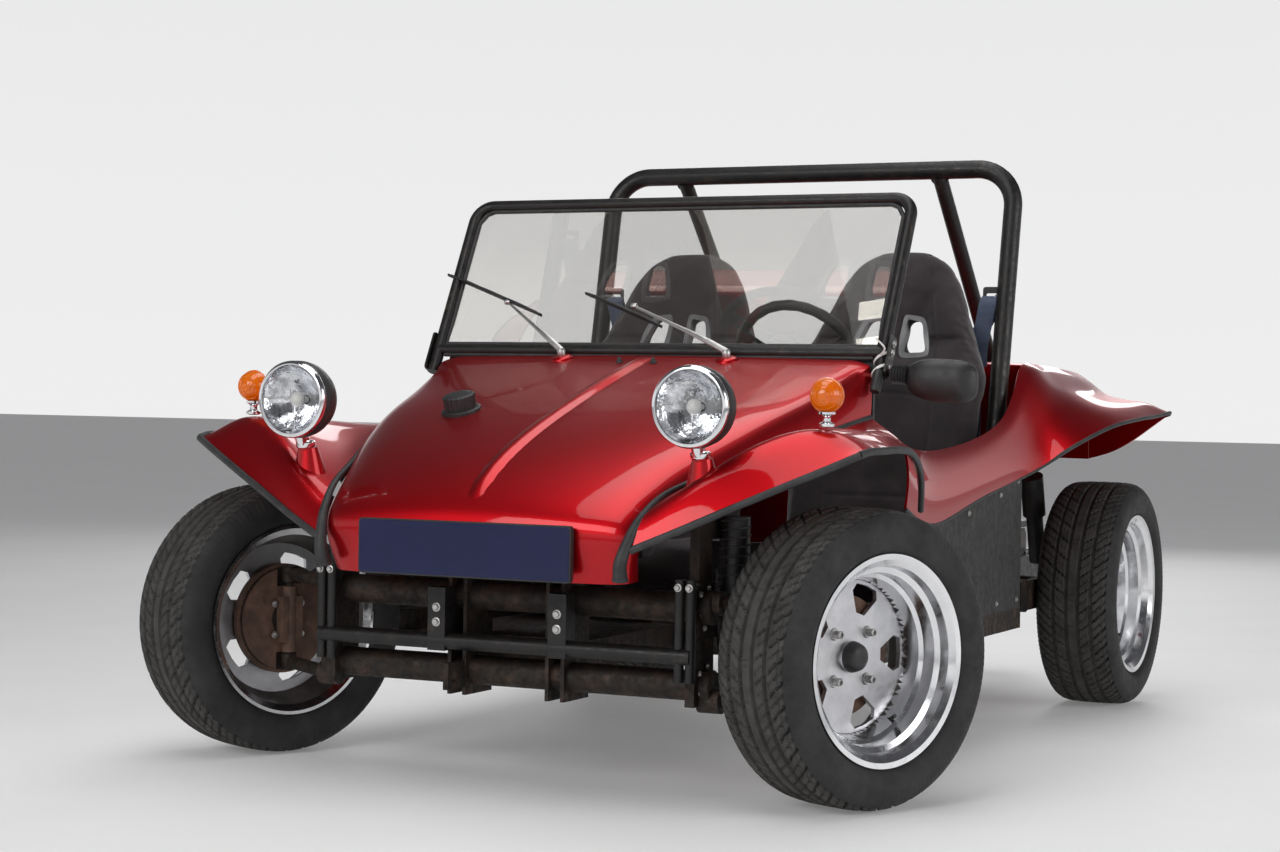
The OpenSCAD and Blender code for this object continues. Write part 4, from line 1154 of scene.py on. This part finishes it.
# fan shroud: a flattened drum with square shoulders, ribs and a ring for the fan
SHROUD = [(-228, -125), (228, -125), (226, -40), (190, 10), (150, 70), (110, 104), (60, 124),
          (0, 130), (-60, 124), (-110, 104), (-150, 70), (-190, 10), (-226, -40)]
rows = []
for grow, y in ((0.90, 242), (0.975, 250), (1.0, 262), (1.0, 368), (0.975, 380), (0.90, 388)):
    rows.append([mm(x * grow, E + y, 598 + z * grow) for x, z in SHROUD])
engine.grid(rows, 1, wrap_cols=True)
for row in (rows[0], rows[-1]):
    engine.add(row, [list(range(len(row)))], 1)
for y in (256, 374):
    engine.tube([mm(x * 1.003, E + y, 598 + z * 1.003) for x, z in SHROUD], 3.0, 8, 1, closed=True)
engine.lathe([(112, 0), (116, -6), (122, -8), (126, -4), (126, 2)], mm(0, E + 246, 606), REAR, 64,
             1)
for k in range(16):
    a = 2 * math.pi * k / 16
    engine.tube([mm(30 * math.cos(a), E + 240, 606 + 30 * math.sin(a)),
                 mm(110 * math.cos(a + 0.3), E + 240, 606 + 110 * math.sin(a + 0.3))], 3.4, 6, 2)
# generator on its stand, the two pulleys and the belt
TOP, LOW = mm(0, E + 416, 622), mm(0, E + 416, 372)
engine.lathe([(30, -28), (46, -24), (47, -20), (47, 6), (44, 9), (22, 10)], mm(0, E + 398, 622),
             REAR, 48, 0)
engine.box((-34, E + 376, 470), (34, E + 404, 580), 0)
for at, r in ((TOP, 62), (LOW, 84)):
    engine.lathe([(14, -9), (r * 0.62, -8), (r * 0.94, -5), (r, -8), (r, -6), (r - 7, -1),
                  (r - 7, 1),
                  (r, 6), (r, 8), (r * 0.94, 5), (r * 0.6, 2), (r * 0.5, 8), (16, 9), (13, 13),
                  (0.01, 13)], at, REAR, 64, 1)
belt = []
for at, r, start in ((TOP, 59, 0), (LOW, 81, math.pi)):
    belt += [at + Vector((r * math.cos(start + math.pi * k / 20), 0,
                          r * math.sin(start + math.pi * k / 20))) / 1000 for k in range(21)]
engine.tube(belt, 5, 8, 3, closed=True)
# carburettor and oil filler
engine.lathe([(24, 0), (26, 4), (26, 34), (34, 38), (34, 46), (25, 50), (25, 74), (38, 78),
              (38, 96), (30, 100)], mm(0, E + 393, 500), (0, 0, 1), 32, 0)
engine.tube(catmull([mm(96, E + 392, 470), mm(100, E + 400, 520), mm(118, E + 404, 566)], 6), 17,
            20, 1)
engine.lathe([(20, 0), (23, 3), (23, 15), (19, 19), (0.01, 20)], mm(118, E + 404, 566),
             (0.3, 0.1, 1), 32, 1)
# gearbox: a tapering ribbed casting with its nose cone and side covers
rows = []
for y, w, lo, hi in ((-280, 60, 262, 378), (-268, 84, 252, 388), (-200, 92, 246, 392),
                     (-192, 104, 240, 400), (-184, 94, 244, 394), (-110, 112, 236, 408),
                     (-60, 140, 226, 428), (20, 148, 222, 436), (60, 148, 222, 438),
                     (68, 150, 220, 440), (111, 150, 220, 440)):
    ring = []
    for k in range(40):
        a = 2 * math.pi * k / 40
        cx, cz = math.cos(a), math.sin(a)
        ring.append(mm(w * abs(cx) ** 0.72 * (1 if cx > 0 else -1), E + y, (lo + hi) / 2
                       + (hi - lo) / 2 * abs(cz) ** 0.72 * (1 if cz > 0 else -1)))
    rows.append(ring)
engine.grid(rows, 0, wrap_cols=True)
for row in (rows[0], rows[-1]):
    engine.add(row, [list(range(40))], 0)
for sx in (-1, 1):
    for k in range(8):
        a = 2 * math.pi * k / 8
        engine.bolt(mm(sx * 143, E + 70 * math.cos(a) * 0.8, 330 + 62 * math.sin(a)), (sx, 0, 0),
                    6, 6, 2)
engine_obj = engine.make("engine_block_and_fan", [DARK_CAST, BLACK, STEEL, TRIM], slot="worn_steel",
                         bevel=0.002, angle=40)
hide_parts("engine_and_gearbox")

MUFFLER_Y = 2400
muffler = Piece()
muffler.lathe([(52, -296), (60, -300), (65, -298), (66, -290), (65, -282), (65, -150), (66.4, -148),
               (66.4, -128), (65, -126), (65, 126), (66.4, 128), (66.4, 148), (65, 150), (65, 282),
               (66, 290), (65, 298), (60, 300), (52, 296)], mm(0, MUFFLER_Y, 300), (1, 0, 0), 64, 0)
for sx in (-1, 1):
    muffler.lathe([(18, 0), (18, 84), (15.5, 84), (15.5, 20)], mm(sx * 160, MUFFLER_Y, 262), REAR,
                  40, 1)
    muffler.lathe([(22, 0), (22, 12), (19, 13)], mm(sx * 160, 2458, 262), REAR, 40, 0)
    muffler.tube(catmull([mm(sx * 250, MUFFLER_Y, 300), mm(sx * 252, 2352, 302),
                          mm(sx * 290, 2322, 306), mm(sx * 318, 2290, 308)], 8), 20, 24, 0)
    muffler.lathe([(27, 0), (29, 3), (29, 9), (27, 12)], mm(sx * 251, 2344, 301), REAR, 40, 0)
muffler_obj = muffler.make("muffler_and_tailpipes", [RUST, CHROME], slot="worn_steel", angle=40)
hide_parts("exhaust")

# ---------- dashboard dials and knobs --------------
dash = Piece()
for x, z, r in ((240, 800, 50), (130, 812, 27), (350, 812, 27), (0, 800, 20)):
    c = mm(x, 513, z)
    dash.lathe([(r + 4, -1), (r + 4, 5), (r + 1, 8), (r - 2, 7), (r - 3, 3)], c, (0, 1, 0), 40, 0)
    dash.lathe([(r - 2, 2), (r - 2, 3.4), (0.01, 3.6)], c, (0, 1, 0), 40, 1)
    for k in range(9):
        a = math.radians(225 - 270 * k / 8)
        d = Vector((-math.cos(a), 0, math.sin(a)))
        dash.tube([c + d * (r - 9) / 1000 + Vector((0, 0.0042, 0)),
                   c + d * (r - 4) / 1000 + Vector((0, 0.0042, 0))], 0.7, 4, 2)
    dash.tube([c + Vector((0, 0.005, 0)), c + Vector((r * 0.4, 5, r * 0.5)) / 1000], 0.9, 4, 2)
for x in (-60, -100, -140, 60):
    dash.lathe([(9, 0), (10, 3), (7, 6), (7, 14), (4, 16)], mm(x, 512, 790), (0, 1, 0), 24, 0)
dash.make("dashboard_dials", [PLASTIC, DIAL, TIE], slot="black_plastic", angle=45)

# ---------- camera and light ----------
cam_data = bpy.data.cameras.new("camera")
cam = bpy.data.objects.new("camera", cam_data)
bpy.context.collection.objects.link(cam)
cam_data.sensor_width = 36.0
cam_data.lens = 69.325
CAM_AT = (2.3982, -5.598, 0.7994)  # solved from the photograph, with the angles below
YAW, PITCH, ROLL = math.radians(25.747), math.radians(0.75), math.radians(0.951)
fwd = Vector((-math.sin(YAW) * math.cos(PITCH), math.cos(YAW) * math.cos(PITCH), -math.sin(PITCH)))
right = Vector((math.cos(YAW), math.sin(YAW), 0))
upward = right.cross(fwd)
cam_x = math.cos(ROLL) * right + math.sin(ROLL) * upward
cam_y = -math.sin(ROLL) * right + math.cos(ROLL) * upward
cam.matrix_world = Matrix((
    (cam_x.x, cam_y.x, -fwd.x, CAM_AT[0]), (cam_x.y, cam_y.y, -fwd.y, CAM_AT[1]),
    (cam_x.z, cam_y.z, -fwd.z, CAM_AT[2]), (0, 0, 0, 1)))
cam_data.clip_start, cam_data.clip_end = 0.1, 200
bpy.context.scene.camera = cam

floor_mesh = bpy.data.meshes.new("studio_floor")
SIZE = 45  # half the floor's width, in metres
FLOOR_GLOW, SKY_STRENGTH = 0.14, 0.86
floor_mesh.from_pydata([(-SIZE, -SIZE, 0), (SIZE, -SIZE, 0), (SIZE, SIZE, 0), (-SIZE, SIZE, 0)], [],
                       [[0, 1, 2, 3]])
floor = bpy.data.objects.new("studio_floor", floor_mesh)
bpy.context.collection.objects.link(floor)
pale = surface("pale_floor", [(0.3, (0.80, 0.80, 0.80)), (0.75, (0.85, 0.85, 0.85))], 0.6, patch=2)
pale.node_tree.nodes["Principled BSDF"].inputs["Emission Color"].default_value = (1, 1, 1, 1)
pale.node_tree.nodes["Principled BSDF"].inputs["Emission Strength"].default_value = FLOOR_GLOW
floor_mesh.materials.append(pale)

bpy.context.scene.view_settings.view_transform = "Standard"
world = bpy.data.worlds.new("studio")
bpy.context.scene.world = world
world.use_nodes = True
sky = world.node_tree
direction = sky.nodes.new("ShaderNodeTexCoord")
split = sky.nodes.new("ShaderNodeSeparateXYZ")
sky.links.new(direction.outputs["Generated"], split.inputs["Vector"])
fade = ramp(sky.nodes, sky.links, split.outputs["Z"],
            [(0.0, (1.0, 1.0, 1.0)), (0.17, (0.95, 0.95, 0.96)), (0.30, (0.16, 0.16, 0.17)),
             (0.55, (0.07, 0.07, 0.075)), (1.0, (0.10, 0.10, 0.11))])
sky.links.new(fade.outputs["Color"], sky.nodes["Background"].inputs["Color"])
sky.nodes["Background"].inputs["Strength"].default_value = SKY_STRENGTH


def softbox(name, at, target, size, watts):
    data = bpy.data.lights.new(name, "AREA")
    data.shape = "RECTANGLE"
    data.size, data.size_y = size
    data.energy = watts
    obj = bpy.data.objects.new(name, data)
    bpy.context.collection.objects.link(obj)
    obj.location = at
    obj.rotation_mode = "QUATERNION"
    obj.rotation_quaternion = (Vector(target) - Vector(at)).to_track_quat("-Z", "Y")


softbox("overhead", (0, -0.5, 4.6), (0, 0, 0), (2.2, 7), 120)
softbox("front_key", (-1.0, -6.5, 3.2), (0, -0.8, 0.6), (4, 2), 120)
softbox("left_fill", (6.0, -1.0, 2.4), (0, 0, 0.5), (4, 2.5), 95)
softbox("rear_rim", (-2.0, 6.5, 3.2), (0, 0, 0.8), (4, 2), 95)
